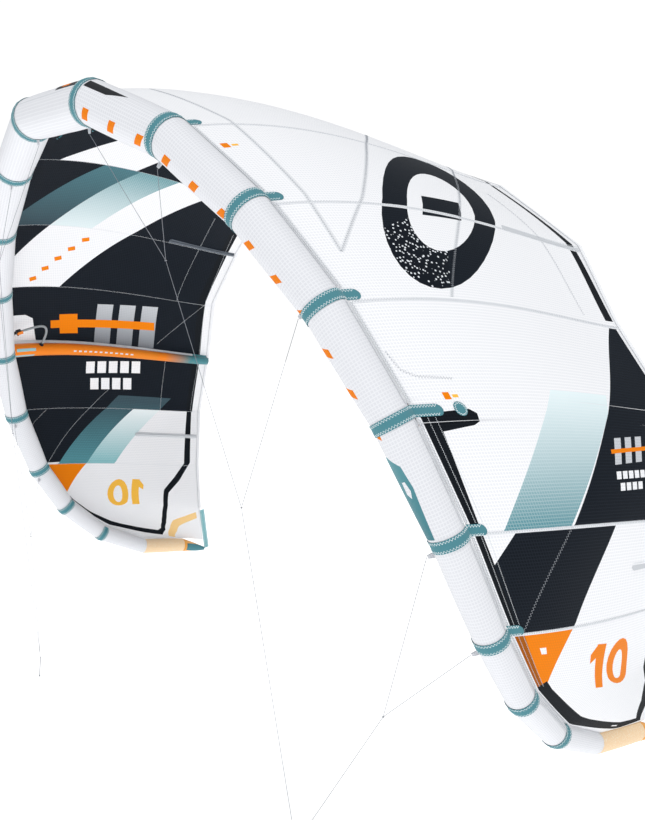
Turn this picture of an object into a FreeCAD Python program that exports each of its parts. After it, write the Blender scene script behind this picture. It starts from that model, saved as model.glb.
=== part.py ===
"""Inflatable kitesurf kite in its flown attitude: arched leading edge, three struts, canopy and bridle.

Frame: origin on the leading edge tube's axis at the plane of symmetry, +X along the span to the
right wing, +Y back along the chord to the trailing edge, +Z up.  Millimetres and degrees.
"""
import FreeCAD, Part
import math
import os
import Sketcher

Vector = FreeCAD.Vector
os.makedirs("parts", exist_ok=True)
doc = FreeCAD.newDocument("kitesurf_kite")
MIRROR_X = Vector(1, 0, 0)

# ---------------------------------------------------------------- driving dimensions
sheet = doc.addObject("Spreadsheet::Sheet", "dimensions")

# Half of the leading edge as mitred tube segments, from the centre outwards:
# length, slope below the horizontal in front view, sweep back from the span direction.
SEGMENTS = [
    (482, 20.5, 12.0),
    (504, 34.5, 11.5),
    (460, 46.5, 15.5),
    (448, 57.5, 17.5),
    (430, 69.5, 22.0),
    (398, 81.5, 28.0),
    (314, 91.0, 38.0),
    (310, 99.0, 53.0),
    (318, 110.0, 69.0),
    (295, 120.0, 87.0),
]
# Trailing edge end of each rib, measured from the leading edge node: outwards, back, up.
RIB_ENDS = [
    (60, 1705, 20),
    (183, 1640, 15),
    (170, 1629, 25),
    (90, 1497, 26),
    (99, 1493, 4),
    (77, 1366, 14),
    (-39, 1148, -2),
    (-103, 949, -54),
]
SIZES = {
    "centre_half": 290,
    "tube_radius_centre": 96,
    "tube_radius_tip": 42,
    "taper_power": 1.15,
    "casing_wall": 1.2,
    "bladder_gap": 2.0,
    "bladder_wall": 0.8,
    "band_width": 44,
    "band_wall": 1.2,
    "band_gap": 0.8,
    "canopy_wall": 1.0,
    "canopy_angle": 50,
    "tip_angle": 26,
    "camber": 0.045,
    "centre_chord": 1700,
    "centre_rise": 25,
    "clearance": 0.4,
    "hem_width": 10,
    "hem_wall": 2.4,
    "strap_width": 30,
    "strap_wall": 3,
    "strut_radius_front": 39,
    "strut_radius_tail": 24,
    "strut_setback": 22,
    "strut_drop": 3.5,
    "tail_cap_wall": 4,
    "batten_width": 12,
    "batten_wall": 3,
    "batten_drop": 3,
    "cone_end_radius": 9,
    "cone_end_out": -2,
    "cone_end_back": 177,
    "cone_end_rise": -39,
    "cap_wall": 1.4,
    "line_radius": 1.0,
    "knot_radius": 5,
    "pigtail_radius": 2,
    "pigtail_length": 100,
    "pigtail_knot_radius": 6,
    "tab_width": 22,
    "tab_wall": 5,
    "tab_reach": 24,
    "tab_lift": 2.4,
    "valve_angle": 125,
    "valve_bore_radius": 11,
    "dump_bore_radius": 16,
    "valve_bore_depth": 14,
    "valve_wall": 4,
    "valve_lid": 4,
    "valve_pin_radius": 1.5,
    "running_gap": 0.06,
    "hose_radius": 7,
    "hose_offset": 125,
    "elbow_radius": 9,
    "elbow_reach": 16,
    "elbow_lift": 4,
    "elbow_flange_lift": 2.5,
    "clip_width": 26,
    "clip_length": 28,
    "clip_height": 22,
    "clip_lever_width": 17.4,
    "clip_lever_length": 32,
    "clip_lever_wall": 3,
    "clip_barrel_radius": 3.5,
}
cells = dict(SIZES)
for k, values in enumerate(SEGMENTS):
    for word, value in zip(("length", "slope", "sweep"), values):
        cells[f"segment_{word}_{k}"] = value
for k, values in enumerate(RIB_ENDS):
    for word, value in zip(("out", "back", "rise"), values):
        cells[f"rib_{word}_{k}"] = value
for row, (alias, value) in enumerate(cells.items(), start=1):
    sheet.set(f"A{row}", alias)
    sheet.set(f"B{row}", str(value))
    sheet.setAlias(f"B{row}", alias)
doc.recompute()


def size(alias):
    return float(getattr(sheet, alias))


# ---------------------------------------------------------------- shared geometry
def unit(v):
    return v * (1.0 / v.Length)


def mirrored(point):
    return Vector(-point.x, point.y, point.z)


def leading_edge_nodes():
    """Axis points of the right half, from the centre segment's end to the tube's end."""
    point = Vector(size("centre_half"), 0, 0)
    points = [point]
    for k in range(len(SEGMENTS)):
        slope = math.radians(size(f"segment_slope_{k}"))
        sweep = math.radians(size(f"segment_sweep_{k}"))
        flat = math.cos(sweep)
        step = Vector(math.cos(slope) * flat, math.sin(sweep), -math.sin(slope) * flat)
        point = point + step * size(f"segment_length_{k}")
        points.append(point)
    return points


NODES = leading_edge_nodes()
LAST = len(NODES) - 1
PAD = LAST - 1
TIP_RIB = 7
# End of the closing cone, and where the last ribs end on the way from rib 7's end to it.
TIP_END = NODES[LAST] + Vector(size("cone_end_out"), size("cone_end_back"), size("cone_end_rise"))
TIP_SHARES = (0.3, 0.55, 0.78)


def tube_radius(k):
    """Tube radius at node k: a power-law taper along the half leading edge."""
    half = size("centre_half")
    lengths = [size(f"segment_length_{i}") for i in range(len(SEGMENTS))]
    part = (half + sum(lengths[:k])) / (half + sum(lengths))
    drop = size("tube_radius_centre") - size("tube_radius_tip")
    return size("tube_radius_centre") - drop * part ** size("taper_power")


def tangent(k):
    """Direction of the mitre plane's normal at node k."""
    before = NODES[k] - (NODES[k - 1] if k else mirrored(NODES[0]))
    after = NODES[k + 1] - NODES[k] if k < LAST else before
    return unit(unit(before) + unit(after))


def rib_end(k):
    """Trailing edge point of rib k; the last ribs end on the tip strap."""
    if k <= TIP_RIB:
        return NODES[k] + Vector(size(f"rib_out_{k}"), size(f"rib_back_{k}"), size(f"rib_rise_{k}"))
    share = TIP_SHARES[k - TIP_RIB - 1]
    return rib_end(TIP_RIB) * (1 - share) + TIP_END * share


# Camber line: a bump whose height is the camber at its highest point, well forward.
BUMP_SCALE = 5.65
BUMP_POWER = 1.6


class Rib:
    """One chordwise section: its local axes and its cambered line from the tube to the trailing edge."""

    def __init__(self, node, along, end, radius, extra_angle=0.0):
        self.node = node
        self.along = along
        self.end = end
        self.radius = radius
        chord = end - node
        self.chord = chord.Length
        self.out = unit(along.cross(chord))
        self.back = unit(self.out.cross(along))
        angle = math.radians(size("canopy_angle") + extra_angle)
        band = size("band_gap") + size("band_wall")
        reach = radius + band + size("clearance") + size("canopy_wall") / 2
        self.start = node + self.out * (reach * math.cos(angle)) + self.back * (reach * math.sin(angle))

    def at(self, share, lift=0.0):
        """Point at a share of the chord, lifted off the canopy's middle surface."""
        bump = BUMP_SCALE * share * (1 - share) ** BUMP_POWER * size("camber") * self.chord
        return self.start + (self.end - self.start) * share + self.out * (bump + lift)

    def mirror(self):
        copy = Rib.__new__(Rib)
        copy.node = mirrored(self.node)
        copy.along = mirrored(self.along)
        copy.end = mirrored(self.end)
        copy.radius = self.radius
        copy.chord = self.chord
        copy.out = mirrored(self.out)
        copy.back = mirrored(self.back)
        copy.start = mirrored(self.start)
        return copy


def tip_turn(k):
    """Extra angle round the tube at which the canopy meets it on the last ribs."""
    return size("tip_angle") * max(0, k - TIP_RIB + 1) / (LAST - TIP_RIB + 1)


RIBS = [Rib(NODES[k], tangent(k), rib_end(k), tube_radius(k), tip_turn(k)) for k in range(LAST + 1)]
CENTRE_RIB = Rib(
    Vector(0, 0, 0), Vector(1, 0, 0), Vector(0, size("centre_chord"), size("centre_rise")), tube_radius(0)
)


def ring(centre, x_axis, y_axis, radius):
    """Circle wire whose start point lies along x_axis, so neighbouring rings loft untwisted."""
    x = unit(x_axis)
    z = unit(x.cross(y_axis))
    wire = Part.Wire([Part.Circle(Vector(0, 0, 0), Vector(0, 0, 1), radius).toShape()])
    wire.Placement = FreeCAD.Placement(centre, FreeCAD.Rotation(x, z.cross(x), z, "ZXY"))
    return wire


def rectangle(centre, wide, tall, width, height):
    """Closed rectangle wire about a centre, along two directions."""
    a = unit(wide) * (width / 2)
    b = unit(tall) * (height / 2)
    corners = [centre - a - b, centre + a - b, centre + a + b, centre - a + b]
    return Part.makePolygon(corners + corners[:1])


def loft(wires, ruled=True):
    return Part.makeLoft(wires, True, ruled)


def shell(outer, inner, ruled=True):
    """Tube or bag: the loft of the outer rings less the loft of the inner rings."""
    return loft(outer, ruled).cut(loft(inner, ruled))


SUB_PARTS = []


def keep(obj, label):
    obj.Label = label
    SUB_PARTS.append(obj)
    return obj


def feature(label, shape):
    """Document object for a sewn or moulded piece that no primitive describes."""
    obj = doc.addObject("Part::Feature", label)
    obj.Shape = shape
    return keep(obj, label)


def both_sides(name, solids):
    """The same solids on the right wing and mirrored on the left wing, as two sub-parts."""
    feature(f"{name}_right", Part.makeCompound(solids))
    feature(f"{name}_left", Part.makeCompound([s.mirror(Vector(0, 0, 0), MIRROR_X) for s in solids]))


# ---------------------------------------------------------------- leading edge
def tube_ring(k, shrink=0.0):
    rib = RIBS[k]
    return ring(rib.node, rib.out, rib.back, rib.radius - shrink)


def tube_segment(k):
    """Hollow mitred segment between nodes k and k + 1."""
    wall = size("casing_wall")
    return shell([tube_ring(k), tube_ring(k + 1)], [tube_ring(k, wall), tube_ring(k + 1, wall)])


def mirrored_ring(wire):
    return wire.mirror(Vector(0, 0, 0), MIRROR_X)


def centre_segment():
    wall = size("casing_wall")
    outer = [mirrored_ring(tube_ring(0)), tube_ring(0)]
    inner = [mirrored_ring(tube_ring(0, wall)), tube_ring(0, wall)]
    return shell(outer, inner)


feature("leading_edge_centre", centre_segment())
both_sides("leading_edge", [tube_segment(k) for k in range(PAD)])
both_sides("tip_pad", [tube_segment(PAD)])


def half_bladder(shrink, end_gap):
    """Closed bag through the right half's rings, from the plane of symmetry to the tube's end."""
    centre = ring(Vector(0, 0, 0), Vector(0, 0, 1), Vector(0, 1, 0), tube_radius(0) - shrink)
    rings = [centre] + [tube_ring(k, shrink) for k in range(LAST)]
    end = RIBS[LAST]
    rings.append(ring(end.node - end.along * end_gap, end.out, end.back, end.radius - shrink))
    return loft(rings)


def leading_edge_bladder():
    gap = size("casing_wall") + size("bladder_gap")
    wall = size("bladder_wall")
    bag = half_bladder(gap, 2 * wall).cut(half_bladder(gap + wall, 3 * wall))
    return bag.fuse(bag.mirror(Vector(0, 0, 0), MIRROR_X)).removeSplitter()


feature("leading_edge_bladder", leading_edge_bladder())


def seam_band(k):
    """Reinforcing band over the mitred seam at node k."""
    rib = RIBS[k]
    half = size("band_width") / 2
    before = unit(rib.node - (RIBS[k - 1].node if k else mirrored(RIBS[0].node)))
    after = unit(RIBS[k + 1].node - rib.node)
    places = [rib.node - before * half, rib.node, rib.node + after * half]
    aims = [before, rib.along, after]

    def rings(lift):
        wires = []
        for place, aim in zip(places, aims):
            wires.append(ring(place, aim.cross(rib.back) * -1, rib.back, rib.radius + lift))
        return wires

    inside = size("band_gap")
    return shell(rings(inside + size("band_wall")), rings(inside))


bands = [seam_band(k) for k in range(PAD)]
feature("seam_bands", Part.makeCompound(bands + [b.mirror(Vector(0, 0, 0), MIRROR_X) for b in bands]))


# ---------------------------------------------------------------- wing tip
def cone_rings(lift, start=0.0, stop=1.0):
    """Two rings of the closing cone, from the tube's end to the tip's end."""
    rib = RIBS[LAST]
    axis = TIP_END - rib.node
    aim = unit(axis)
    across = unit(aim.cross(rib.out))
    wires = []
    for share in (start, stop):
        radius = rib.radius * (1 - share) + size("cone_end_radius") * share + lift
        if share > 0:
            wires.append(ring(rib.node + axis * share, across.cross(aim), across, radius))
        else:
            wires.append(tube_ring(LAST, -lift))
    return wires


CAP_SHARES = (0.2, 0.985)


def tip_cap():
    """Scuff cap over the lower half of the cone."""
    inside = 2 * size("clearance")
    first, last = CAP_SHARES
    outside = inside + size("cap_wall")
    cap = shell(cone_rings(outside, first, last), cone_rings(inside, first, last))
    middle = (RIBS[LAST].node + TIP_END) * 0.5
    side = 400
    block = Part.makeBox(side, side, side / 2, Vector(-side / 2, -side / 2, 0))
    down = Vector(0, 0, -1)
    block.Placement = FreeCAD.Placement(middle, FreeCAD.Rotation(Vector(0, 0, 1), down))
    return cap.common(block)


STRAP_TOP_SHARE = 0.05


def tip_strap():
    """Webbing along the tip's edge, from below the hem to behind the cone."""
    top = rib_end(TIP_RIB)
    width = size("strap_width")
    back = unit(Vector(0, 1, 0) - unit(TIP_END - top) * unit(TIP_END - top).y)
    out = unit(TIP_END - top).cross(back)
    shift = back * (width / 2 + size("clearance"))
    below_hem = top + (TIP_END - top) * STRAP_TOP_SHARE
    behind_cone = TIP_END + back * size("cone_end_radius")
    wall = size("strap_wall")
    return loft([rectangle(place + shift, back, out, width, wall) for place in (below_hem, behind_cone)])


INNER_CONE_END = 0.95
both_sides("tip_cone", [shell(cone_rings(0), cone_rings(-size("casing_wall"), 0.0, INNER_CONE_END))])
both_sides("tip_cap", [tip_cap()])
both_sides("tip_strap", [tip_strap()])

# ---------------------------------------------------------------- canopy
PROFILE_SHARES = (0.0, 0.08, 0.2, 0.35, 0.5, 0.65, 0.8, 0.9, 1.0)


def rib_wire(rib):
    """Closed outline of the canopy's section at one rib."""
    half = size("canopy_wall") / 2

    def line(lift):
        curve = Part.BSplineCurve()
        curve.interpolate([rib.at(share, lift) for share in PROFILE_SHARES])
        return curve

    top = line(half)
    under = line(-half)
    edges = [
        top.toShape(),
        Part.makeLine(rib.at(1, half), rib.at(1, -half)),
        under.toShape(),
        Part.makeLine(rib.at(0, -half), rib.at(0, half)),
    ]
    return Part.Wire(Part.__sortEdges__(edges))


def panels(ribs):
    return [loft([rib_wire(a), rib_wire(b)]) for a, b in zip(ribs, ribs[1:])]


centre_ribs = [RIBS[1].mirror(), RIBS[0].mirror(), CENTRE_RIB, RIBS[0], RIBS[1]]
feature("canopy_centre", Part.makeCompound(panels(centre_ribs)))
both_sides("canopy_shoulder", panels(RIBS[1:4]))
both_sides("canopy_strut", panels(RIBS[3:6]))
both_sides("canopy_tip", panels(RIBS[5:]))


def hem(ribs):
    """Folded edge along the trailing edge, one bar through every rib end."""
    width = size("hem_width")
    wires = []
    for rib in ribs:
        back = unit(rib.at(1) - rib.at(0.9))
        centre = rib.end + back * (width / 2 + size("clearance"))
        wires.append(rectangle(centre, back, rib.out, width, size("hem_wall")))
    return loft(wires)


both_sides("trailing_edge_hem", [hem([CENTRE_RIB] + RIBS[: TIP_RIB + 1])])


BATTEN_SHARES = (0.74, 0.8, 0.86, 0.92, 0.985)


def batten(rib):
    """Flexible batten under the trailing edge part of a rib."""
    wide = size("batten_width")
    wall = size("batten_wall")
    drop = size("canopy_wall") / 2 + size("batten_drop") + wall / 2
    return loft([rectangle(rib.at(share, -drop), rib.along, rib.out, wide, wall) for share in BATTEN_SHARES])


LOWER_NODE = (NODES[5] + NODES[6]) * 0.5
LOWER_END = (rib_end(5) + rib_end(6)) * 0.5
LOWER_RADIUS = (tube_radius(5) + tube_radius(6)) / 2
LOWER_RIB = Rib(LOWER_NODE, unit(NODES[6] - NODES[5]), LOWER_END, LOWER_RADIUS)
battens = [batten(rib) for rib in (RIBS[0], RIBS[2], LOWER_RIB)]
feature("battens", Part.makeCompound(battens + [b.mirror(Vector(0, 0, 0), MIRROR_X) for b in battens]))

# ---------------------------------------------------------------- struts
STRUT_RIB = 4
STRUT_SHARES = (0.0, 0.25, 0.5, 0.75, 1.0)
STRUT_TAIL_SHARE = 0.982
FLANGE_ROOT = 0.24


def strut_axis(rib, part):
    """Axis point and radius of the strut under a rib, part running from its root to its tail.

    The root stands back from where the canopy leaves the tube by a share of the tube's radius
    and the setback, so the strut's end clears the tube and its bands.
    """
    first = (FLANGE_ROOT * rib.radius + size("strut_setback")) / rib.chord
    share = first + (STRUT_TAIL_SHARE - first) * part
    radius = size("strut_radius_front") * (1 - part) + size("strut_radius_tail") * part
    drop = radius + size("canopy_wall") / 2 + size("strut_drop")
    return rib.at(share, -drop), radius


def strut_rings(rib, shrink, first=0.0, last=1.0):
    wires = []
    for share in STRUT_SHARES:
        part = first + (last - first) * share
        centre, radius = strut_axis(rib, part)
        step = strut_axis(rib, min(part + 0.02, 1.0))[0] - strut_axis(rib, max(part - 0.02, 0.0))[0]
        side = unit(step.cross(rib.out))
        wires.append(ring(centre, side.cross(step), side, radius - shrink))
    return wires


def strut_casing(rib):
    wall = size("casing_wall")
    return shell(strut_rings(rib, 0), strut_rings(rib, wall), ruled=False)


def strut_bladder(rib):
    gap = size("casing_wall") + size("bladder_gap")
    wall = size("bladder_wall")
    outer = strut_rings(rib, gap, 0.01, 0.985)
    inner = strut_rings(rib, gap + wall, 0.013, 0.982)
    return shell(outer, inner, ruled=False)


def strut_tail_cap(rib):
    """Closing disc just behind the strut's tail."""
    centre, radius = strut_axis(rib, 1.0)
    aim = unit(centre - strut_axis(rib, 0.97)[0])
    return Part.makeCylinder(radius, size("tail_cap_wall"), centre + aim * size("clearance"), aim)


STRUTS = {"centre": CENTRE_RIB, "right": RIBS[STRUT_RIB], "left": RIBS[STRUT_RIB].mirror()}
for side, rib in STRUTS.items():
    feature(f"strut_{side}", strut_casing(rib))
feature("strut_bladders", Part.makeCompound([strut_bladder(rib) for rib in STRUTS.values()]))
feature("strut_tail_caps", Part.makeCompound([strut_tail_cap(rib) for rib in STRUTS.values()]))


# ---------------------------------------------------------------- one-pump hoses and their clips
HOSE_STRUT_PARTS = (0.115, 0.125)


def hose_layout(side):
    """Ends, corner and directions of the hose between the leading edge and a strut."""
    rib = STRUTS[side]
    neighbour = CENTRE_RIB.node + Vector(1, 0, 0) if side == "centre" else RIBS[STRUT_RIB - 1].node
    towards = unit((mirrored(neighbour) if side == "left" else neighbour) - rib.node)
    tube = rib.node + towards * size("hose_offset")
    strut, strut_radius = strut_axis(rib, HOSE_STRUT_PARTS[0])
    strut_aim = strut_axis(rib, HOSE_STRUT_PARTS[1])[0] - strut
    back = rib.back
    corner = tube + back * ((strut - tube).dot(strut_aim) / back.dot(strut_aim))
    across = unit(corner - strut)
    start = tube + back * (rib.radius + size("elbow_lift") + size("elbow_reach"))
    finish = strut + across * (strut_radius + size("clearance") + size("elbow_reach"))
    lay = {"start": start, "corner": corner, "finish": finish}
    return lay | {"back": back, "across": across, "out": rib.out}


def hose_route(lay):
    """Points that a hose is bent round: straight out of both stubs, its corner spread over three."""
    first = lay["corner"] - lay["start"]
    second = lay["finish"] - lay["corner"]
    return [
        lay["start"],
        lay["start"] + first * 0.36,
        lay["start"] + first * 0.68 - lay["out"] * 2,
        lay["corner"] - first * 0.10 + second * 0.24,
        lay["finish"] - second * 0.35,
        lay["finish"],
    ]


def bent_path(points):
    """Straight runs joined by tangent arcs, each as large as its two runs allow."""
    edges = []
    radii = []
    here = points[0]
    for before, corner, after in zip(points, points[1:], points[2:]):
        first = unit(corner - before)
        second = unit(after - corner)
        half_turn = first.getAngle(second) / 2
        cut = 0.45 * min((corner - before).Length, (after - corner).Length)
        radius = cut / math.tan(half_turn)
        enter = corner - first * cut
        leave = corner + second * cut
        middle = corner + unit(second - first) * (radius / math.cos(half_turn) - radius)
        edges += [Part.makeLine(here, enter), Part.Arc(enter, middle, leave).toShape()]
        radii.append(radius)
        here = leave
    edges.append(Part.makeLine(here, points[-1]))
    return edges, radii


def hose(lay):
    edges, radii = bent_path(hose_route(lay))
    path = Part.Wire(edges)
    section = ring(lay["start"], lay["out"], lay["back"].cross(lay["out"]), size("hose_radius"))
    solid = path.makePipeShell([section], True, False)
    expected = math.pi * size("hose_radius") ** 2 * path.Length
    print("hose bend radii", [round(r, 1) for r in radii], "length", round(path.Length, 1))
    print("hose volume ratio", round(solid.Volume / expected, 4))
    return solid


def elbows(lay):
    """Stub fittings at both ends of a hose, moulded on round flanges."""
    reach = size("elbow_reach")
    gap = size("clearance")
    parts = []
    sunk = size("elbow_lift") - size("elbow_flange_lift")
    for end, aim, extra in ((lay["start"], lay["back"], sunk), (lay["finish"], lay["across"], 0)):
        foot = end - aim * (reach + extra)
        flange = Part.makeCylinder(size("elbow_radius") + 5, 2, foot, aim)
        stub = Part.makeCylinder(size("elbow_radius"), (end - foot).Length - gap, foot, aim)
        parts.append(flange.fuse(stub).removeSplitter())
    return parts


HOSES = {side: hose_layout(side) for side in STRUTS}
for side, lay in HOSES.items():
    feature(f"one_pump_hose_{side}", hose(lay))
stubs = []
for lay in HOSES.values():
    stubs += elbows(lay)
feature("hose_elbows", Part.makeCompound(stubs))

PIN_BACK = 10
PIN_RISE = 15


def clip_placement(lay):
    """Clip frame: Y along the hose, Z towards the inside of the wing, X across."""
    y = unit(lay["corner"] - lay["start"])
    z = unit(lay["out"] * -1)
    x = y.cross(z)
    centre = lay["start"] + y * (size("clip_length") / 2 + 2)
    return FreeCAD.Placement(centre, FreeCAD.Rotation(x, y, z, "YZX"))


def clip_base(lay):
    """Clamp body with a through hole for the hose, two ears and the lever's pin."""
    wide = size("clip_width")
    long = size("clip_length")
    tall = size("clip_height")
    block = Part.makeBox(wide, long, tall, Vector(-wide / 2, -long / 2, -tall / 2))
    body = block.makeFillet(3, [e for e in block.Edges if abs(e.tangentAt(e.FirstParameter).y) > 0.9])
    ear = Part.makeBox(4, 8, 8, Vector(-wide / 2, -PIN_BACK - 4, tall / 2 - 2))
    body = body.fuse(ear).fuse(ear.mirror(Vector(0, 0, 0), MIRROR_X))
    pin_end = Vector(-wide / 2, -PIN_BACK, PIN_RISE)
    body = body.fuse(Part.makeCylinder(size("valve_pin_radius"), wide, pin_end, Vector(1, 0, 0)))
    bore = size("hose_radius") + size("clearance")
    body = body.cut(Part.makeCylinder(bore, 2 * long, Vector(0, -long, 0), Vector(0, 1, 0)))
    body.Placement = clip_placement(lay)
    return body


feature("hose_clips", Part.makeCompound([clip_base(lay) for lay in HOSES.values()]))


def clip_lever(side, lay):
    """Lever padded from one side-view sketch: a barrel round the pin and a flat plate."""
    body = doc.addObject("PartDesign::Body", f"clip_lever_{side}")
    sketch = body.newObject("Sketcher::SketchObject", f"lever_outline_{side}")
    plane = [f for f in body.Origin.OriginFeatures if f.Role == "YZ_Plane"][0]
    sketch.AttachmentSupport = [(plane, "")]
    sketch.MapMode = "FlatFace"
    radius = size("clip_barrel_radius")
    half = size("clip_lever_wall") / 2
    reach = math.sqrt(radius ** 2 - half ** 2)
    centre = Vector(-PIN_BACK, PIN_RISE, 0)
    low = centre + Vector(reach, -half, 0)
    high = centre + Vector(reach, half, 0)
    tip = -PIN_BACK + size("clip_lever_length")
    corners = [low, Vector(tip, low.y, 0), Vector(tip, high.y, 0), high]
    for a, b in zip(corners, corners[1:]):
        sketch.addGeometry(Part.LineSegment(a, b), False)
    lean = math.atan2(half, reach)
    circle = Part.Circle(centre, Vector(0, 0, 1), radius)
    sketch.addGeometry(Part.ArcOfCircle(circle, lean, 2 * math.pi - lean), False)
    joints = [(0, 2, 1, 1), (1, 2, 2, 1), (2, 2, 3, 1), (3, 2, 0, 1)]
    for joint in joints:
        sketch.addConstraint(Sketcher.Constraint("Coincident", *joint))
    bore = size("valve_pin_radius") + size("running_gap")
    sketch.addGeometry(Part.Circle(centre, Vector(0, 0, 1), bore), False)
    pad = body.newObject("PartDesign::Pad", f"lever_{side}")
    pad.Profile = sketch
    pad.Midplane = True
    pad.setExpression("Length", "dimensions.clip_lever_width")
    body.Placement = clip_placement(lay)
    return keep(body, f"clip_lever_{side}")


for side, lay in HOSES.items():
    clip_lever(side, lay)


# ---------------------------------------------------------------- inflation and dump valves
def primitive(kind, name, placement, **expressions):
    """A Part primitive whose sizes are bound to the sheet."""
    obj = doc.addObject(f"Part::{kind}", name)
    for prop, expression in expressions.items():
        obj.setExpression(prop, expression)
    obj.Placement = placement
    return obj


def join(kind, name, base, tool):
    obj = doc.addObject(f"Part::{kind}", name)
    obj.Base = base
    obj.Tool = tool
    return obj


def valve(name, place_x, bore):
    """Valve on the centre segment: saddle base with a bore, and a lid on a pin at its side."""
    angle = math.radians(size("valve_angle"))
    z = Vector(0, math.sin(angle), math.cos(angle))
    x = Vector(1, 0, 0)
    y = z.cross(x)
    frame = FreeCAD.Placement(Vector(place_x, 0, 0), FreeCAD.Rotation(x, y, z, "ZXY"))
    tube = tube_radius(0)
    throat = size(bore) + size("valve_wall")
    rim = tube + 5
    mouth = rim + size("valve_bore_depth")
    lid_low = mouth + 0.3
    pin_y = throat + 5
    pin_z = lid_low + 1.5

    def local(px, py, pz, aim=Vector(0, 0, 1)):
        return frame.multiply(FreeCAD.Placement(Vector(px, py, pz), FreeCAD.Rotation(Vector(0, 0, 1), aim)))

    along = Vector(1, 0, 0)
    flange = primitive("Cylinder", f"{name}_flange", local(0, 0, tube - 9), Radius=f"dimensions.{bore} + 19")
    flange.Height = 14
    saddle = primitive("Cylinder", f"{name}_saddle", local(-60, 0, 0, along))
    saddle.Radius = tube + size("clearance")
    saddle.Height = 120
    foot = join("Cut", f"{name}_foot", flange, saddle)
    wall = primitive("Cylinder", f"{name}_throat", local(0, 0, rim - 1))
    wall.setExpression("Radius", f"dimensions.{bore} + dimensions.valve_wall")
    wall.setExpression("Height", "dimensions.valve_bore_depth + 1")
    solid = join("Fuse", f"{name}_wall", foot, wall)
    for sign in (-1, 1):
        ear = primitive("Box", f"{name}_ear_{sign + 1}", local(6 if sign > 0 else -9, throat + 2.5, rim - 1))
        ear.Length = 3
        ear.Width = 5
        ear.Height = pin_z - rim + 3.2
        solid = join("Fuse", f"{name}_eared_{sign + 1}", solid, ear)
    pin = primitive("Cylinder", f"{name}_pin", local(-9, pin_y, pin_z, along))
    pin.setExpression("Radius", "dimensions.valve_pin_radius")
    pin.Height = 18
    solid = join("Fuse", f"{name}_pinned", solid, pin)
    hole = primitive("Cylinder", f"{name}_bore", local(0, 0, rim), Radius=f"dimensions.{bore}")
    hole.Height = size("valve_bore_depth") + 10
    keep(join("Cut", f"{name}_base", solid, hole), f"{name}_base")

    lid = primitive("Cylinder", f"{name}_lid", local(0, 0, lid_low), Height="dimensions.valve_lid")
    lid.Radius = throat + 2
    arm = primitive("Box", f"{name}_arm", local(-5.7, throat - 6, lid_low))
    arm.Length = 11.4
    arm.Width = 11
    arm.Height = 3
    barrel = primitive("Cylinder", f"{name}_barrel", local(-5.7, pin_y, pin_z, along))
    barrel.Radius = 3
    barrel.Height = 11.4
    socket = primitive("Cylinder", f"{name}_socket", local(-8, pin_y, pin_z, along))
    socket.setExpression("Radius", "dimensions.valve_pin_radius + dimensions.running_gap")
    socket.Height = 16
    cap = join("Fuse", f"{name}_lid_arm", lid, arm)
    cap = join("Fuse", f"{name}_lid_barrel", cap, barrel)
    keep(join("Cut", f"{name}_cap", cap, socket), f"{name}_cap")
    pivot = local(0, pin_y, pin_z).Base
    port = local(0, 0, mouth).Base
    print(name, "pivot", [round(c, 3) for c in pivot], "mouth", [round(c, 3) for c in port])


valve("inflate_valve", -205, "valve_bore_radius")
valve("dump_valve", 150, "dump_bore_radius")

# ---------------------------------------------------------------- bridle
BRIDLE_POINTS = {
    "upper": Vector(809, 75, -627),
    "middle": Vector(1076, 296, -1515),
    "rear": Vector(1550, 634, -2201),
    "front": Vector(1191, 567, -2820),
}
# Leading edge node and shift along the tube of each attachment, and the point its line runs to.
ATTACHMENTS = [(0, -38, "upper"), (1, 38, "upper"), (3, -45, "middle"), (5, 40, "rear"), (6, 40, "rear")]
CASCADE = [("upper", "middle"), ("middle", "front"), ("rear", "front")]


def attachment(k, shift, goal):
    """Foot of a tab on the tube's surface and the direction of the tab towards its line."""
    rib = RIBS[k]
    side = RIBS[k + 1].node if shift > 0 else (RIBS[k - 1].node if k else mirrored(RIBS[0].node))
    aim = unit(side - rib.node)
    centre = rib.node + aim * abs(shift)
    pull = BRIDLE_POINTS[goal] - centre
    pull = unit(pull - aim * pull.dot(aim))
    return centre + pull * (rib.radius + size("tab_lift")), pull, aim


def tab(k, shift, goal):
    foot, pull, aim = attachment(k, shift, goal)
    reach = size("tab_reach")
    block = loft(
        [
            rectangle(foot, aim, pull.cross(aim), size("tab_width"), size("tab_wall")),
            rectangle(foot + pull * reach, aim, pull.cross(aim), size("tab_width") * 0.6, size("tab_wall")),
        ]
    )
    return block


tabs = [tab(*place) for place in ATTACHMENTS]
feature("bridle_tabs", Part.makeCompound(tabs + [t.mirror(Vector(0, 0, 0), MIRROR_X) for t in tabs]))

knot_places = [p for p in BRIDLE_POINTS.values()] + [mirrored(p) for p in BRIDLE_POINTS.values()]
knots = [Part.makeSphere(size("knot_radius"), place) for place in knot_places]
feature("bridle_knots", Part.makeCompound(knots))


def line_ends():
    """Start and finish of every bridle line of the right wing, clear of tabs and knots."""
    gap = size("knot_radius") + size("clearance")
    ends = []
    for k, shift, goal in ATTACHMENTS:
        foot, pull, _ = attachment(k, shift, goal)
        start = foot + pull * (size("tab_reach") + 2 * size("line_radius"))
        aim = unit(BRIDLE_POINTS[goal] - start)
        ends.append((start, BRIDLE_POINTS[goal] - aim * gap))
    for a, b in CASCADE:
        aim = unit(BRIDLE_POINTS[b] - BRIDLE_POINTS[a])
        ends.append((BRIDLE_POINTS[a] + aim * gap, BRIDLE_POINTS[b] - aim * gap))
    return ends


def bridle_line(label, start, finish):
    """Straight taut line as a thin cylinder."""
    turn = FreeCAD.Rotation(Vector(0, 0, 1), finish - start)
    line = primitive("Cylinder", label, FreeCAD.Placement(start, turn), Radius="dimensions.line_radius")
    line.Height = (finish - start).Length
    keep(line, label)


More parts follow.
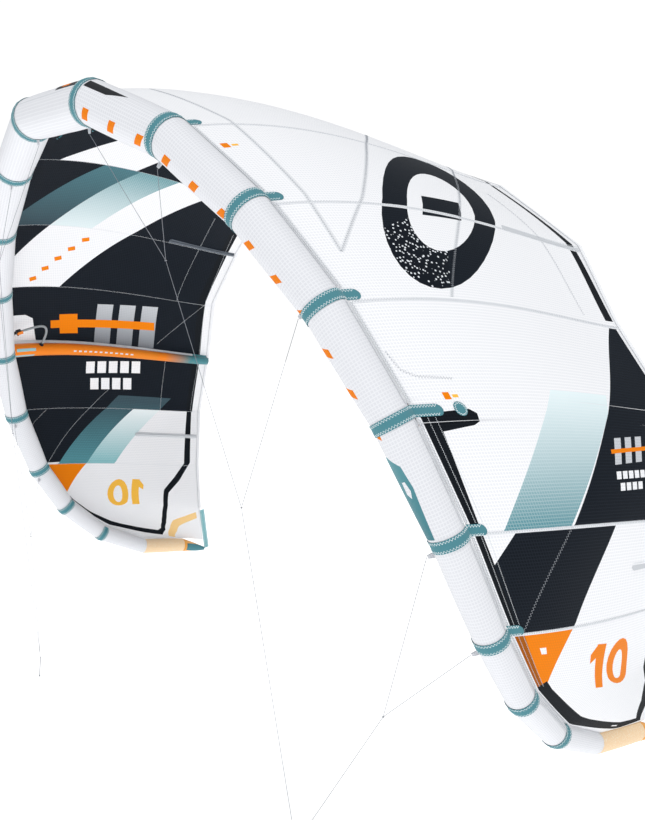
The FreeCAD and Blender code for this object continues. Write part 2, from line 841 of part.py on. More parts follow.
for number, (start, finish) in enumerate(line_ends(), start=1):
    bridle_line(f"bridle_line_right_{number}", start, finish)
    bridle_line(f"bridle_line_left_{number}", mirrored(start), mirrored(finish))
    print("line", number, "length", round((finish - start).Length, 1))


def pigtail(label, place):
    """Short hanging line with a stopper knot, swinging under the front bridle knot."""
    top = place - Vector(0, 0, size("knot_radius") + size("clearance"))
    turn = FreeCAD.Rotation(Vector(0, 0, 1), Vector(0, 0, -1))
    line = primitive("Cylinder", f"{label}_line", FreeCAD.Placement(top, turn))
    line.setExpression("Radius", "dimensions.pigtail_radius")
    line.setExpression("Height", "dimensions.pigtail_length")
    foot = top - Vector(0, 0, size("pigtail_length"))
    knot = primitive("Sphere", f"{label}_knot", FreeCAD.Placement(foot, turn))
    knot.setExpression("Radius", "dimensions.pigtail_knot_radius")
    keep(join("Fuse", label, line, knot), label)


pigtail("front_pigtail_right", BRIDLE_POINTS["front"])
pigtail("front_pigtail_left", mirrored(BRIDLE_POINTS["front"]))

# ---------------------------------------------------------------- checks and output
doc.recompute()
for obj in doc.Objects:
    if "Invalid" in obj.State or "Error" in obj.State:
        raise RuntimeError(f"{obj.Name} failed: {obj.State}")
for obj in SUB_PARTS:
    if obj.Shape.isNull() or not obj.Shape.isValid():
        raise RuntimeError(f"{obj.Label} has no valid shape")
    if min(s.Volume for s in obj.Shape.Solids) <= 0:
        raise RuntimeError(f"{obj.Label} has an inside-out solid")
for obj in SUB_PARTS:
    obj.Shape.exportStep(f"parts/{obj.Label}.step")
for side, lay in HOSES.items():
    place = clip_placement(lay)
    pivot = place.multVec(Vector(0, -PIN_BACK, PIN_RISE))
    axis = place.Rotation.multVec(Vector(1, 0, 0))
    print("clip", side, [round(c, 3) for c in pivot], [round(c, 4) for c in axis])
    print("hose", side, [[round(c, 1) for c in point] for point in hose_route(lay)])
cloth = [obj for obj in SUB_PARTS if obj.Label.startswith("canopy")]
area = sum(panel.Area / 2 for obj in cloth for panel in obj.Shape.Solids)
print("nodes", len(SUB_PARTS), "canopy area m2", round(area / 1e6, 2))
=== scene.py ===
"""Looks of the kitesurf kite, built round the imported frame.

Metres, in the frame of the CAD model: origin on the leading edge tube's axis at the plane of
symmetry, +X to the right wing, +Y back to the trailing edge, +Z up.
"""

import math

import bmesh
import bpy
import numpy as np
from mathutils import Matrix, Vector


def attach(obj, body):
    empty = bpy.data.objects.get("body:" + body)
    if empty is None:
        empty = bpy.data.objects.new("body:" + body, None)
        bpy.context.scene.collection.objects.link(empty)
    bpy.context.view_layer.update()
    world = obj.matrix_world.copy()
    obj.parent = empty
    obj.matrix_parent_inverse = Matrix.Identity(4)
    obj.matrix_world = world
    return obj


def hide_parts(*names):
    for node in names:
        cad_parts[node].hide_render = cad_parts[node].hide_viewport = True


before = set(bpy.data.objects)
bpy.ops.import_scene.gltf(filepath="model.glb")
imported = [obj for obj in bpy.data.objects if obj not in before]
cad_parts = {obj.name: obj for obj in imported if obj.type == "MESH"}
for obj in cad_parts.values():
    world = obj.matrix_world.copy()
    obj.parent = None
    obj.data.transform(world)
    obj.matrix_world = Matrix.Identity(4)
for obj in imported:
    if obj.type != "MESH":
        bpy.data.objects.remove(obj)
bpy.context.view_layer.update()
MM = 0.001
MIRROR = np.array([-1.0, 1.0, 1.0])

# ---------------------------------------------------------------- camera
CAMERA_PLACE = (4.140, -1.870, -0.810)
YAW, PITCH, ROLL = 0.924, -0.077, 0.064
SENSOR, LENS, FAR_CLIP = 36.0, 45.259, 200
SHIFT_ACROSS, SHIFT_UP = 0.051098, -0.015244


def new_object(name, data):
    """Object round a mesh, curve, lamp or camera, linked into the scene."""
    made = bpy.data.objects.new(name, data)
    bpy.context.scene.collection.objects.link(made)
    return made


def add_camera():
    ahead = Vector((-math.sin(YAW) * math.cos(PITCH), math.cos(YAW) * math.cos(PITCH), math.sin(PITCH)))
    level = Vector((math.cos(YAW), math.sin(YAW), 0))
    above = level.cross(ahead)
    right = level * math.cos(ROLL) + above * math.sin(ROLL)
    up = above * math.cos(ROLL) - level * math.sin(ROLL)
    data = bpy.data.cameras.new("camera")
    data.sensor_width = SENSOR
    data.lens = LENS
    data.shift_x = SHIFT_ACROSS
    data.shift_y = SHIFT_UP
    data.clip_end = FAR_CLIP
    camera = new_object("camera", data)
    turned = Matrix((right, up, -ahead)).transposed().to_4x4()
    camera.matrix_world = Matrix.Translation(CAMERA_PLACE) @ turned
    bpy.context.scene.camera = camera


add_camera()

# ---------------------------------------------------------------- shared geometry
# Length, slope below the horizontal in front view and sweep back of each tube segment.
SEGMENTS = [
    (482, 20.5, 12.0),
    (504, 34.5, 11.5),
    (460, 46.5, 15.5),
    (448, 57.5, 17.5),
    (430, 69.5, 22.0),
    (398, 81.5, 28.0),
    (314, 91.0, 38.0),
    (310, 99.0, 53.0),
    (318, 110.0, 69.0),
    (295, 120.0, 87.0),
]
# Trailing edge end of each rib, measured from its leading edge node: outwards, back, up.
RIB_ENDS = [
    (60, 1705, 20),
    (183, 1640, 15),
    (170, 1629, 25),
    (90, 1497, 26),
    (99, 1493, 4),
    (77, 1366, 14),
    (-39, 1148, -2),
    (-103, 949, -54),
]
CENTRE_HALF = 0.290
CENTRE_RADIUS, TIP_RADIUS, TAPER = 0.096, 0.042, 1.15
# Where the canopy leaves the tube, in degrees from the wing's outside, and its further turn at the tip.
CANOPY_ANGLE, TIP_ANGLE = 50, 26
CAMBER, CAMBER_GAIN, CAMBER_POWER = 0.045, 5.65, 1.6
CANOPY_REACH = 2.9 * MM
CENTRE_END = np.array([0, 1.700, 0.025])
# The tip's end from the last node, and how far the last ribs' ends lie along the tip's edge.
TIP_SHIFT = np.array([-2, 177, -39]) * MM
TIP_SHARES = {8: 0.3, 9: 0.55, 10: 0.78}


def unit(v):
    v = np.asarray(v, float)
    return v / np.linalg.norm(v, axis=-1, keepdims=True)


def leading_edge_nodes():
    points = [np.array([CENTRE_HALF, 0, 0])]
    for length, slope, sweep in SEGMENTS:
        down, aft = math.radians(slope), math.radians(sweep)
        step = np.array([math.cos(down) * math.cos(aft), math.sin(aft), -math.sin(down) * math.cos(aft)])
        points.append(points[-1] + step * length * MM)
    return points


NODES = leading_edge_nodes()
LAST = len(NODES) - 1
TIP_RIB = 7
TIP_END = NODES[LAST] + TIP_SHIFT


def tube_radius(k):
    lengths = [s[0] * MM for s in SEGMENTS]
    part = (CENTRE_HALF + sum(lengths[:k])) / (CENTRE_HALF + sum(lengths))
    return CENTRE_RADIUS - (CENTRE_RADIUS - TIP_RADIUS) * part**TAPER


def rib_end(k):
    if k <= TIP_RIB:
        return NODES[k] + np.array(RIB_ENDS[k]) * MM
    return rib_end(TIP_RIB) * (1 - TIP_SHARES[k]) + TIP_END * TIP_SHARES[k]


def tangent(k):
    before = NODES[k] - (NODES[k - 1] if k else NODES[0] * MIRROR)
    after = NODES[k + 1] - NODES[k] if k < LAST else before
    return unit(unit(before) + unit(after))


class Rib:
    """One chordwise section: local axes, tube radius and cambered line to the trailing edge."""

    def __init__(self, node, along, end, radius, extra_angle=0.0):
        chord = end - node
        self.node, self.along, self.end, self.radius = node, along, end, radius
        self.chord = np.linalg.norm(chord)
        self.out = unit(np.cross(along, chord))
        self.back = unit(np.cross(self.out, along))
        self.angle = math.radians(CANOPY_ANGLE + extra_angle)
        reach = radius + CANOPY_REACH
        lean = self.out * math.cos(self.angle) + self.back * math.sin(self.angle)
        self.start = node + lean * reach

    def at(self, share, lift=0.0):
        share = np.asarray(share, float)[..., None]
        bump = CAMBER_GAIN * share * (1 - share) ** CAMBER_POWER * CAMBER * self.chord
        return self.start + (self.end - self.start) * share + self.out * (bump + lift)

    def mirror(self):
        copy = Rib(self.node, self.along, self.end, self.radius)
        copy.angle = self.angle
        copy.start = self.start * MIRROR
        for word in ("node", "end", "out", "back"):
            setattr(copy, word, getattr(self, word) * MIRROR)
        copy.along = self.along * -MIRROR
        return copy


def tip_turn(k):
    return TIP_ANGLE * max(0, k - TIP_RIB + 1) / (LAST - TIP_RIB + 1)


RIGHT = [Rib(NODES[k], tangent(k), rib_end(k), tube_radius(k), tip_turn(k)) for k in range(LAST + 1)]
CENTRE_RIB = Rib(np.zeros(3), np.array([1.0, 0, 0]), CENTRE_END, tube_radius(0))
RIBS = [r.mirror() for r in RIGHT[::-1]] + [CENTRE_RIB] + RIGHT
MIDDLE = len(RIGHT)


# ---------------------------------------------------------------- surfaces
def between(curves, u, bend):
    """Blend of the rows of curves at positions u: straight where bend is 0, a smooth arch where it is 1."""
    last = len(curves) - 1
    spot = np.clip(u + MIDDLE, 0, last - 1e-9)
    row = np.floor(spot).astype(int)
    t = (spot - row)[..., None]

    def take(i):
        return np.take_along_axis(curves, np.clip(i, 0, last)[None, ..., None], 0)[0]

    before, start, end, after = take(row - 1), take(row), take(row + 1), take(row + 2)

    def span(a, b):
        return np.maximum(np.linalg.norm(b - a, axis=-1, keepdims=True), 1e-6)

    d0, d1, d2 = span(before, start), span(start, end), span(end, after)
    chord = end - start
    lead = ((start - before) / d0 * d1 + chord / d1 * d0) / (d0 + d1) * d1
    trail = (chord / d1 * d2 + (after - end) / d2 * d1) / (d1 + d2) * d1
    lead = np.where((row == 0)[..., None], chord, lead)
    trail = np.where((row + 2 > last)[..., None], chord, trail)
    arch = (
        (2 * t**3 - 3 * t**2 + 1) * start
        + (t**3 - 2 * t**2 + t) * lead
        + (3 * t**2 - 2 * t**3) * end
        + (t**3 - t**2) * trail
    )
    flat = start * (1 - t) + end * t
    return flat + (arch - flat) * bend


def by_rib(word):
    return np.stack([getattr(r, word) for r in RIBS])


def along_ribs(values, u):
    """Straight blend of one vector or number per rib at positions u."""
    spot = np.clip(np.asarray(u, float) + MIDDLE, 0, len(RIBS) - 1 - 1e-9)
    row = np.floor(spot).astype(int)
    t = spot - row
    t = t[..., None] if values.ndim > 1 else t
    return values[row] * (1 - t) + values[row + 1] * t


OUTS, BACKS, CENTRES = by_rib("out"), by_rib("back"), by_rib("node")
RADII = np.array([r.radius for r in RIBS])
CHORDS = np.array([r.chord for r in RIBS])
SPANS = np.linalg.norm(np.diff(CENTRES, axis=0), axis=1)
SPAN_STARTS = np.concatenate(([0.0], np.cumsum(SPANS)))
ARCH_POWER = 0.6


def canopy(u, v, lift=0.0):
    """Points of the canopy: u counts ribs from the centre, right positive, v is the share of the chord."""
    u, v, lift = np.broadcast_arrays(np.asarray(u, float), np.asarray(v, float), np.asarray(lift, float))
    curves = np.stack([r.at(v) for r in RIBS])
    bend = np.clip(4 * v * (1 - v), 0, 1)[..., None] ** ARCH_POWER
    return between(curves, u, bend) + unit(along_ribs(OUTS, u)) * lift[..., None]


# Each segment swells between its joints, and small pinches run round the tube beside them.
SEG_BULGE, PINCH, PINCH_REACH, PINCH_WAVES = 1.6 * MM, 0.7 * MM, 0.09, 17


def tube(u, angle, lift=0.0):
    """Points of the leading edge tube, at an angle in degrees from the wing's outside towards its back."""
    given = (np.asarray(value, float) for value in (u, angle, lift))
    u, angle, lift = np.broadcast_arrays(*given)
    turn = np.radians(angle)[..., None]
    share = np.abs(u) - np.floor(np.abs(u))
    swell = SEG_BULGE * 4 * share * (1 - share)
    edge = np.minimum(share, 1 - share)
    edge = np.where(np.abs(u) < 0.5, 0.5, edge)
    waves = np.sin(PINCH_WAVES * turn[..., 0] + 3 * np.floor(u))
    swell = swell + PINCH * waves * np.exp(-edge / PINCH_REACH)
    radius = (along_ribs(RADII, u) + lift + swell)[..., None]
    out, back = unit(along_ribs(OUTS, u)), unit(along_ribs(BACKS, u))
    return along_ribs(CENTRES, u) + out * np.cos(turn) * radius + back * np.sin(turn) * radius


def span_at(u):
    """Length of the tube segment at u, so that metres along it turn into steps of u."""
    return SPANS[np.clip(np.floor(np.asarray(u) + MIDDLE).astype(int), 0, len(SPANS) - 1)]


def span_metres(u):
    """Metres along the tube from the left tip to u."""
    return np.interp(np.asarray(u, float) + MIDDLE, np.arange(len(SPAN_STARTS)), SPAN_STARTS)


# ---------------------------------------------------------------- looks
def node(tree, kind, links=None, values=None, **settings):
    made = tree.nodes.new("ShaderNode" + kind)
    for word, value in settings.items():
        setattr(made, word, value)
    for place, value in (values or {}).items():
        made.inputs[place].default_value = value
    for place, source in (links or {}).items():
        tree.links.new(source, made.inputs[place])
    return made


def rgb(red, green, blue):
    """Linear colour from an 8-bit screen colour."""
    shares = [c / 255 for c in (red, green, blue)]
    return tuple(((c + 0.055) / 1.055) ** 2.4 if c > 0.04 else c / 12.92 for c in shares) + (1,)


RIPSTOP_PITCH, RIPSTOP_WIDTH = 0.0125, 0.14
CLOUD_SCALE, WEAVE_TURN, BUMP_HEIGHT = 4.0, (0.7, 0.5, 0.6), 0.0006


def math_node(tree, work, first, second=0.0):
    """Math node on a socket and a socket or number."""
    links = {0: first}
    values = {}
    if isinstance(second, (int, float)):
        values[1] = second
    else:
        links[1] = second
    return node(tree, "Math", links, values, operation=work).outputs[0]


def blend_colours(tree, factor, first, second, mode="MIX"):
    """Mix of two colours, each a socket or a colour, by a socket or a number."""
    mix = node(tree, "Mix", data_type="RGBA", blend_type=mode)
    for place, value in ((0, factor), (6, first), (7, second)):
        if isinstance(value, (tuple, float)):
            mix.inputs[place].default_value = value
        else:
            tree.links.new(value, mix.inputs[place])
    return mix.outputs[2]


def grid_lines(tree, source, pitch, width):
    """Mask of a square grid of fine lines over a flat vector in metres."""
    split = node(tree, "SeparateXYZ", {0: source})
    masks = []
    for axis in (0, 1):
        saw = math_node(tree, "PINGPONG", math_node(tree, "MULTIPLY", split.outputs[axis], 1 / pitch), 0.5)
        masks.append(math_node(tree, "LESS_THAN", saw, width))
    return math_node(tree, "MAXIMUM", masks[0], masks[1])


def look(name, colour, rough=0.6, sheen=0.15, weave=0.0, grid=None, fade=None, speckle=None, mottle=0.05,
         bump=0.15, grain=260.0, spec=0.2):
    """Procedural finish: a base colour with an optional fade along u, ripstop grid, weave and mottling."""
    made = bpy.data.materials.new(name)
    made.use_nodes = True
    tree = made.node_tree
    shader = tree.nodes["Principled BSDF"]
    shader.inputs["Roughness"].default_value = rough
    shader.inputs["Sheen Weight"].default_value = sheen
    shader.inputs["Specular IOR Level"].default_value = spec
    place = node(tree, "TexCoord").outputs["Object"]
    paint = colour
    if fade:
        other, across, start = fade
        spot = node(tree, "UVMap", uv_map="ribs").outputs[0]
        dot = node(tree, "VectorMath", {0: spot}, {1: (across, 0, 0)}, operation="DOT_PRODUCT")
        share = node(tree, "Math", {0: dot.outputs["Value"]}, {1: start}, operation="ADD", use_clamp=True)
        paint = blend_colours(tree, share.outputs[0], paint, other)
    cloud = node(tree, "TexNoise", {"Vector": place}, {"Scale": CLOUD_SCALE, "Detail": 4.0}).outputs[0]
    paint = blend_colours(tree, mottle, paint, cloud, "OVERLAY") if mottle else paint
    if speckle:
        dots, size, amount = speckle
        cells = node(tree, "TexVoronoi", {"Vector": place}, {"Scale": size}).outputs["Distance"]
        paint = blend_colours(tree, math_node(tree, "LESS_THAN", cells, amount), paint, dots)
    fine = node(tree, "TexNoise", {"Vector": place}, {"Scale": grain, "Detail": 2.0}).outputs[0]
    height = fine
    if grid:
        other, strength = grid
        flat = node(tree, "UVMap", uv_map="cloth").outputs[0]
        lines = grid_lines(tree, flat, RIPSTOP_PITCH, RIPSTOP_WIDTH)
        paint = blend_colours(tree, math_node(tree, "MULTIPLY", lines, strength), paint, other)
        height = math_node(tree, "ADD", lines, math_node(tree, "MULTIPLY", fine, 0.6))
    if weave:
        flat = node(tree, "Mapping", {0: place}, {"Rotation": WEAVE_TURN}).outputs[0]
        first = node(tree, "TexWave", {"Vector": flat}, {"Scale": weave}).outputs[1]
        second = node(tree, "TexWave", {"Vector": flat}, {"Scale": weave}, bands_direction="Y").outputs[1]
        height = math_node(tree, "ADD", height, math_node(tree, "MULTIPLY", first, second))
    if isinstance(paint, tuple):
        shader.inputs["Base Color"].default_value = paint
    else:
        tree.links.new(paint, shader.inputs["Base Color"])
    relief = node(tree, "Bump", {"Height": height}, {"Strength": bump, "Distance": BUMP_HEIGHT})
    tree.links.new(relief.outputs[0], shader.inputs["Normal"])
    return made


def fade_between(start, stop):
    """Slope and offset of a fade that runs from 0 at u = start to 1 at u = stop."""
    return 1 / (stop - start), -start / (stop - start)


WHITE, DARK, ORANGE, GOLD = rgb(237, 238, 241), rgb(15, 21, 29), rgb(246, 132, 6), rgb(255, 196, 78)
PALE_TEAL, BAND_TEAL, STRUT_TEAL = rgb(160, 207, 212), rgb(78, 136, 146), rgb(74, 138, 146)
DARK_GRID, WHITE_GRID = (rgb(40, 48, 58), 0.35), (rgb(253, 253, 254), 0.95)
FADE_GRID = (rgb(246, 250, 251), 0.22)
TAPE_CLOTH, SEWN_THREAD = dict(rough=0.6, grain=600, weave=300), dict(rough=0.8, grain=900, bump=0.3)


# ---------------------------------------------------------------- pieces
SIDES = (("right", 1), ("left", MIRROR))


def new_mesh(name, verts, faces, looks, smooth=True):
    mesh = bpy.data.meshes.new(name)
    mesh.from_pydata([tuple(p) for p in verts], [], faces)
    mesh.polygons.foreach_set("use_smooth", [smooth] * len(faces))
    for finish in looks:
        mesh.materials.append(finish)
    return mesh


def on_root(obj, slot, *nodes):
    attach(obj, "root")
    if nodes:
        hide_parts(*nodes)
    return obj


def thicken(obj, wall, offset=0.0):
    solid = obj.modifiers.new("wall", "SOLIDIFY")
    solid.thickness = wall
    solid.offset = offset
    return obj


# ---------------------------------------------------------------- cords
LINE_RADIUS, KNOT_RADIUS, GAP = 1.0 * MM, 5 * MM, 0.4 * MM
TAB_REACH, TAB_LIFT = 24 * MM, 2.4 * MM
PIGTAIL_LENGTH, PIGTAIL_RADIUS, PIGTAIL_KNOT = 0.100, 2 * MM, 6 * MM
CORD_ROUNDNESS, CORD_STEPS, CORD_ORDER = 4, 12, 3
BRIDLE_POINTS = {
    "upper": np.array([0.809, 0.075, -0.627]),
    "middle": np.array([1.076, 0.296, -1.515]),
    "rear": np.array([1.550, 0.634, -2.201]),
    "front": np.array([1.191, 0.567, -2.820]),
}
# Leading edge node and shift along the tube of each tab, and the point its line runs to.
ATTACHMENTS = [
    (0, -0.038, "upper"),
    (1, 0.038, "upper"),
    (3, -0.045, "middle"),
    (5, 0.040, "rear"),
    (6, 0.040, "rear"),
]
CASCADE = [("upper", "middle"), ("middle", "front"), ("rear", "front")]


def curve_object(name, points, radius, finish):
    """Round cord along one NURBS line through the ends, guided by the points between."""
    data = bpy.data.curves.new(name, "CURVE")
    data.dimensions = "3D"
    data.bevel_depth = radius
    data.bevel_resolution = CORD_ROUNDNESS
    data.use_fill_caps = True
    spline = data.splines.new("NURBS")
    spline.points.add(len(points) - 1)
    for spot, place in zip(spline.points, points):
        spot.co = (*[float(c) for c in place], 1)
    spline.order_u = CORD_ORDER
    spline.use_endpoint_u = True
    spline.resolution_u = CORD_STEPS
    data.materials.append(finish)
    return new_object(name, data)


def attachment(k, shift, goal):
    """Foot of a bridle tab on the tube, its direction to the line and the tube's own direction."""
    rib = RIGHT[k]
    side = RIGHT[k + 1].node if shift > 0 else (RIGHT[k - 1].node if k else RIGHT[0].node * MIRROR)
    aim = unit(side - rib.node)
    centre = rib.node + aim * abs(shift)
    pull = BRIDLE_POINTS[goal] - centre
    pull = unit(pull - aim * pull.dot(aim))
    return centre + pull * (rib.radius + TAB_LIFT), pull, aim


def line_ends():
    """Start and finish of every bridle line of the right wing."""
    gap = KNOT_RADIUS + GAP
    ends = []
    for k, shift, goal in ATTACHMENTS:
        foot, pull, _ = attachment(k, shift, goal)
        start = foot + pull * (TAB_REACH + 2 * LINE_RADIUS)
        ends.append((start, BRIDLE_POINTS[goal] - unit(BRIDLE_POINTS[goal] - start) * gap))
    for a, b in CASCADE:
        aim = unit(BRIDLE_POINTS[b] - BRIDLE_POINTS[a])
        ends.append((BRIDLE_POINTS[a] + aim * gap, BRIDLE_POINTS[b] - aim * gap))
    return ends


line_look = look("bridle_line_look", rgb(136, 140, 146), rough=0.8, weave=140, bump=0.4)
hose_look = look("hose_look", rgb(150, 155, 158), rough=0.35, sheen=0, grain=90, bump=0.05)
for number, ends in enumerate(line_ends(), start=1):
    for side, turn in SIDES:
        start, finish = (p * turn for p in ends)
        route = [start, (start + finish) / 2, finish]
        line = curve_object(f"line_{side}_{number}", route, LINE_RADIUS, line_look)
        on_root(line, "bridle_line", f"bridle_line_{side}_{number}")
        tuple(start)

# Points that the centre hose and the right hose are bent round, from the tube to the strut.
HOSE_ROUTES = {
    "centre": [
        (0.1250, 0.1135, 0.0017),
        (0.1250, 0.1816, 0.0027),
        (0.1250, 0.2421, 0.0016),
        (0.1066, 0.2824, 0.0128),
        (0.0753, 0.2992, 0.0278),
        (0.0485, 0.2975, 0.0404),
    ],
    "right": [
        (1.6008, 0.5061, -0.9960),
        (1.5929, 0.5844, -0.9683),
        (1.5842, 0.6541, -0.9445),
        (1.6067, 0.6984, -0.9584),
        (1.6481, 0.7143, -1.0048),
        (1.6853, 0.7093, -1.0510),
    ],
}
HOSE_ROUTES["left"] = [(-x, y, z) for x, y, z in HOSE_ROUTES["right"]]
HOSE_RADIUS = 7 * MM
for side, route in HOSE_ROUTES.items():
    hose = curve_object(f"hose_{side}", route, HOSE_RADIUS, hose_look)
    on_root(hose, "hose", f"one_pump_hose_{side}")
    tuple(route[0])


KNOT_STEPS, KNOT_SIDES, KNOT_CORD_SHARE = 60, 8, 1 / 3


def knot_object(name, centres, size):
    """Overhand knots pulled tight, each swept along a trefoil that fits in a ball of the given size."""
    cord = size * KNOT_CORD_SHARE
    t = np.linspace(0, 2 * math.pi, KNOT_STEPS + 1)[:-1]
    path = [np.sin(t) + 2 * np.sin(2 * t), np.cos(t) - 2 * np.cos(2 * t), -np.sin(3 * t)]
    path = np.stack(path, -1) * (size - cord) / 3
    ahead = unit(np.roll(path, -1, 0) - np.roll(path, 1, 0))
    first = unit(path - ahead * (path * ahead).sum(1)[:, None])
    second = np.cross(ahead, first)
    spin = np.linspace(0, 2 * math.pi, KNOT_SIDES + 1)[:-1, None]
    rings = path[:, None] + cord * (first[:, None] * np.cos(spin) + second[:, None] * np.sin(spin))
    verts, faces = [], []
    for centre in centres:
        base = len(verts)
        verts += list((rings + centre).reshape(-1, 3))
        for i in range(KNOT_STEPS):
            here, there = base + i * KNOT_SIDES, base + (i + 1) % KNOT_STEPS * KNOT_SIDES
            for j in range(KNOT_SIDES):
                m = (j + 1) % KNOT_SIDES
                faces.append((here + j, there + j, there + m, here + m))
    return new_object(name, new_mesh(name, verts, faces, [line_look]))


places = [p * turn for p in BRIDLE_POINTS.values() for _, turn in SIDES]
knots = knot_object("line_knots", places, KNOT_RADIUS)
on_root(knots, "bridle_line", "bridle_knots")
for side, turn in SIDES:
    top = (BRIDLE_POINTS["front"] - np.array([0, 0, KNOT_RADIUS + GAP])) * turn
    foot = top - np.array([0, 0, PIGTAIL_LENGTH])
    tail = curve_object(f"pigtail_{side}", [top, (top + foot) / 2, foot], PIGTAIL_RADIUS, line_look)
    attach(tail, f"pigtail_{side}")
    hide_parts(f"front_pigtail_{side}")
    stopper = knot_object(f"pigtail_knot_{side}", [foot], PIGTAIL_KNOT)
    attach(stopper, f"pigtail_{side}")

# ---------------------------------------------------------------- painted sheets
MERGE = 1e-5


def painted_sheet(name, us, vs, ground, shapes, place, cloth, looks):
    """One sheet gridded over (u, v), cut along its coloured shapes' edges, then bent into place.

    ground gives a look number for a face's (u, v), shapes are (look number, convex outline) in painting
    order, place turns (u, v) into points and cloth turns (u, v) into flat metres for the weave.
    """
    bm = bmesh.new()
    rows = [[bm.verts.new((u, v, 0)) for v in vs] for u in us]
    for first, second in zip(rows, rows[1:]):
        for a, b, c, d in zip(first, second, second[1:], first[1:]):
            face = bm.faces.new((a, b, c, d))
            centre = face.calc_center_median()
            face.material_index = ground(centre.x, centre.y)
    for number, outline in shapes:
        corners = [Vector((u, v, 0)) for u, v in outline]
        middle = sum(corners, Vector()) / len(corners)
        low = [min(c[i] for c in corners) for i in (0, 1)]
        high = [max(c[i] for c in corners) for i in (0, 1)]
        faces = []
        for face in bm.faces:
            spots = [v.co for v in face.verts]
            if all(max(s[i] for s in spots) > low[i] and min(s[i] for s in spots) < high[i] for i in (0, 1)):
                faces.append(face)
        for a, b in zip(corners, corners[1:] + corners[:1]):
            if not faces:
                break
            outward = Vector((b.y - a.y, a.x - b.x, 0)).normalized()
            if outward.dot(middle - a) > 0:
                outward = -outward
            parts = faces + list(dict.fromkeys(e for f in faces for e in f.edges))
            parts += list(dict.fromkeys(v for f in faces for v in f.verts))
            made = bmesh.ops.bisect_plane(bm, geom=parts, dist=MERGE, plane_co=a, plane_no=outward)
            kept = [g for g in made["geom"] if isinstance(g, bmesh.types.BMFace)]
            faces = [f for f in kept if outward.dot(f.calc_center_median() - a) < 0]
        for face in faces:
            face.material_index = number
    bmesh.ops.triangulate(bm, faces=[f for f in bm.faces if len(f.verts) > 4])
    mesh = bpy.data.meshes.new(name)
    bm.to_mesh(mesh)
    bm.free()
    flat = np.zeros(len(mesh.vertices) * 3)
    mesh.vertices.foreach_get("co", flat)
    spots = flat.reshape(-1, 3)[:, :2]
    corner = np.zeros(len(mesh.loops), int)
    mesh.loops.foreach_get("vertex_index", corner)
    for layer, values in (("cloth", cloth(spots[:, 0], spots[:, 1])), ("ribs", spots)):
        mesh.uv_layers.new(name=layer).data.foreach_set("uv", values[corner].astype(np.float32).ravel())
    mesh.vertices.foreach_set("co", place(spots[:, 0], spots[:, 1]).astype(np.float32).ravel())
    mesh.polygons.foreach_set("use_smooth", [True] * len(mesh.polygons))
    mesh.update()
    for finish in looks:
        mesh.materials.append(finish)
    return new_object(name, mesh)


def close_seam(obj):
    """Welds a sheet that was bent round into a tube along its first and last rows."""
    bm = bmesh.new()
    bm.from_mesh(obj.data)
    bmesh.ops.remove_doubles(bm, verts=bm.verts, dist=MERGE)
    bm.to_mesh(obj.data)
    bm.free()
    return obj


def place_box(corners):
    """Turns (x, y) of a unit box into (u, v) inside four corners, clockwise from the top left."""
    a, b, c, d = (np.array(p, float) for p in corners)

    def put(x, y):
        spot = (a * (1 - x) + b * x) * (1 - y) + (d * (1 - x) + c * x) * y
        return float(spot[0]), float(spot[1])

    return put


def bar(put, x0, y0, x1, y1, lean=0.0):
    """Parallelogram in a unit box, its top shifted sideways by lean."""
    return [put(x0 + lean, y0), put(x1 + lean, y0), put(x1, y1), put(x0, y1)]


def ring_quads(put, inner, steps=20, start=0, stop=None):
    """Quads of an oval ring that fills a unit box, its hole scaled by inner across and down."""
    quads = []
    for i in range(start, steps if stop is None else stop):
        a, b = (2 * math.pi * j / steps for j in (i, i + 1))
        edge = [(a, 1, 1), (b, 1, 1), (b, *inner), (a, *inner)]
        quads.append([put(0.5 + 0.5 * x * math.cos(t), 0.5 + 0.5 * y * math.sin(t)) for t, x, y in edge])
    return quads


def numeral_one(put):
    """Plain figure 1: its stem fills a unit box and its flag reaches out beyond the left side."""
    return [bar(put, 0.0, 0.0, 1.0, 1.0), [put(0.0, 0.03), put(0.0, 0.27), put(-0.6, 0.38), put(-0.6, 0.20)]]


def block_rows(put, rows, gap=0.25):
    """Rows of short blank blocks, in place of words; each row is its top, bottom, start, end and count."""
    blocks = []
    for y0, y1, x0, x1, count in rows:
        step = (x1 - x0) / count
        blocks += [bar(put, x0 + i * step, y0, x0 + (i + 1 - gap) * step, y1) for i in range(count)]
    return blocks


# ---------------------------------------------------------------- canopy
(PLAIN_WHITE, PLAIN_DARK, DEEP_TEAL_FADE, LIGHT_TEAL_FADE, LOWER_DEEP_FADE, LOWER_LIGHT_FADE, RIGHT_FADE,
 BRIGHT_ORANGE, BURNT_ORANGE, GOLDEN, SILVER, SPECKLED, TRIM, TAPED, FAINT_TEAL, PALE_ORANGE) = range(16)
ripstop = dict(rough=0.5, sheen=0.04, grain=900.0, bump=0.25)
dull_ripstop = dict(ripstop, sheen=0, spec=0.06)


def faded(name, first, last, start, stop, grid=FADE_GRID):
    """Ripstop that turns from the first colour at u = start to the last at u = stop."""
    return look(name, first, grid=grid, fade=(last, *fade_between(start, stop)), **ripstop)


